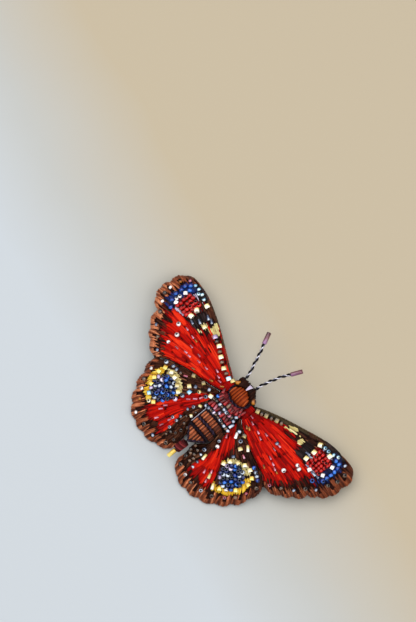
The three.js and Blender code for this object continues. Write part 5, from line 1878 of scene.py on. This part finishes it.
# %% Antennae
ANTENNAE = {  # stations of the wires, and the two ends of the tube
    "left": ([(-2.95, 9.1, 7), (-3.4, 11, 7.6), (-4.3, 13, 8.1), (-5.9, 17, 8.7), (-6.95, 19.1, 8.9)],
             ((-7.1, 19.4, 8.95), (-8.7, 22.9, 9.2))),
    "right": ([(1.7, 9.05, 7), (2, 11, 7.6), (2.6, 13, 8.1), (4.1, 17.4, 8.7), (5.15, 19.2, 8.9)],
              ((5.3, 19.5, 8.95), (6.9, 22.9, 9.2))),
}
WIRE_RADIUS = 0.25
TWIST = 3.0
HIDDEN_ROOT = (0, -1.2, -0.5)  # from the first station into the head
IN_TUBE = 0.3  # share of the tube that the wires reach into
WIRES = [("black", WIRE_BLACK, 0.62, 0.4), ("silver", WIRE_SILVER, 0.46, 0.6)]
TUBE_WIDTH = 1.42

for side, (stations, tube_ends) in ANTENNAE.items():
    tube_from, tube_to = (np.array(end) for end in tube_ends)
    root = tuple(part + step for part, step in zip(stations[0], HIDDEN_ROOT))
    centres = [root] + stations + [tuple(mix(tube_from, tube_to, IN_TUBE))]
    for path, (wire, finish, width, tint) in zip(cord_paths(centres, WIRE_RADIUS, TWIST), WIRES):
        replaced = [f"antenna_{side}"] if wire == "black" else []
        lay_strands(f"antenna_{side}_{wire}_wire", [(path, width, width, tint)], finish,
                    sides=8, end_scale=CORD_END, replaced=replaced)
    axis = Vector(tube_to - tube_from)
    tube = ("tube", tuple((tube_from + tube_to) / 2), axis.normalized(), TUBE_WIDTH, axis.length)
    lay_beads(f"antenna_{side}_glass_tube", [tube], GLASS["plum"], [f"antenna_{side}_tip"])

# %% [markdown]
# The pin on the back is plain bright steel. Its solids already have the right shape, so they stay and
# only get a brushed finish.

# %% Pin
for node in ("pin_bar", "pin_stem"):
    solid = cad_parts[node]
    solid.data.materials.clear()
    solid.data.materials.append(STEEL)
    print(node, len(solid.data.polygons), "faces, in plain steel")

# %% [markdown]
# The brooch lies on a plain pale table, cooler on one side and warmer on the other.

# %% Table
TABLE_HALF = 0.6
WARM_SIDE = 0.85 * PICTURE_RIGHT + 0.5 * PICTURE_UP
TABLE_COLOURS = [(0.1, rgb(172, 178, 182)), (0.4, rgb(165, 166, 162)), (0.8, rgb(166, 154, 131))]


def table_finish():
    finish = Finish("pale_table")
    place = finish.place()
    product = {"operation": "DOT_PRODUCT"}
    warmth = finish.node("ShaderNodeVectorMath", product, {0: place, 1: WARM_SIDE}, "Value")
    clouds = finish.noise(place, 14.0, 3.0)
    return finish.surface({
        "Base Color": finish.ramp(warmth * 12.0 + clouds * 0.2 + 0.38, TABLE_COLOURS),
        "Roughness": 0.5,
        "Specular IOR Level": 0.2,
    })


def add_table():
    bm = bmesh.new()
    bmesh.ops.create_grid(bm, x_segments=1, y_segments=1, size=TABLE_HALF)
    mesh = finished(bm, "table")
    mesh.materials.append(table_finish())
    table = bpy.data.objects.new("table", mesh)
    bpy.context.scene.collection.objects.link(table)


add_table()
print("the table is", 2 * TABLE_HALF, "metres wide")

# %% [markdown]
# Soft light falls from a large window above the brooch, a little to the left in the picture. A smaller,
# warmer light on the right and a pale room all round keep the shadows open.

# %% Light
LIGHTS = {  # place and size in metres, power in watts, and colour
    "window": (-0.2 * PICTURE_RIGHT + 0.16 * PICTURE_UP + Vector((0, 0, 0.75)),
               1.0, 5.2, (1.0, 0.98, 0.95)),
    "room": (0.5 * PICTURE_RIGHT - 0.2 * PICTURE_UP + Vector((0, 0, 0.6)),
             0.6, 2.2, (1.0, 0.96, 0.9)),
}
ROOM_COLOUR = (0.92, 0.94, 1.0, 1)
ROOM_STRENGTH = 0.84


def add_light(name, spot, size, power, colour):
    data = bpy.data.lights.new(name, "AREA")
    data.shape = "DISK"
    data.size = size
    data.energy = power
    data.color = colour
    light = bpy.data.objects.new(name, data)
    light.location = spot
    light.rotation_euler = (-spot).to_track_quat("-Z", "Y").to_euler()
    bpy.context.scene.collection.objects.link(light)


for name, (spot, size, power, colour) in LIGHTS.items():
    add_light(name, spot, size, power, colour)
    print(name, "light is", round(spot.length, 2), "metres away")

world = bpy.data.worlds.new("room")
world.use_nodes = True
background = world.node_tree.nodes["Background"]
background.inputs["Color"].default_value = ROOM_COLOUR
background.inputs["Strength"].default_value = ROOM_STRENGTH
bpy.context.scene.world = world
bpy.context.scene.view_settings.view_transform = "Standard"

# %% [markdown]
# The small meshes that strands and beads were copied from have done their work and are removed.

# %% Removing the templates
for used, _ in templates.values():
    bpy.data.meshes.remove(used)
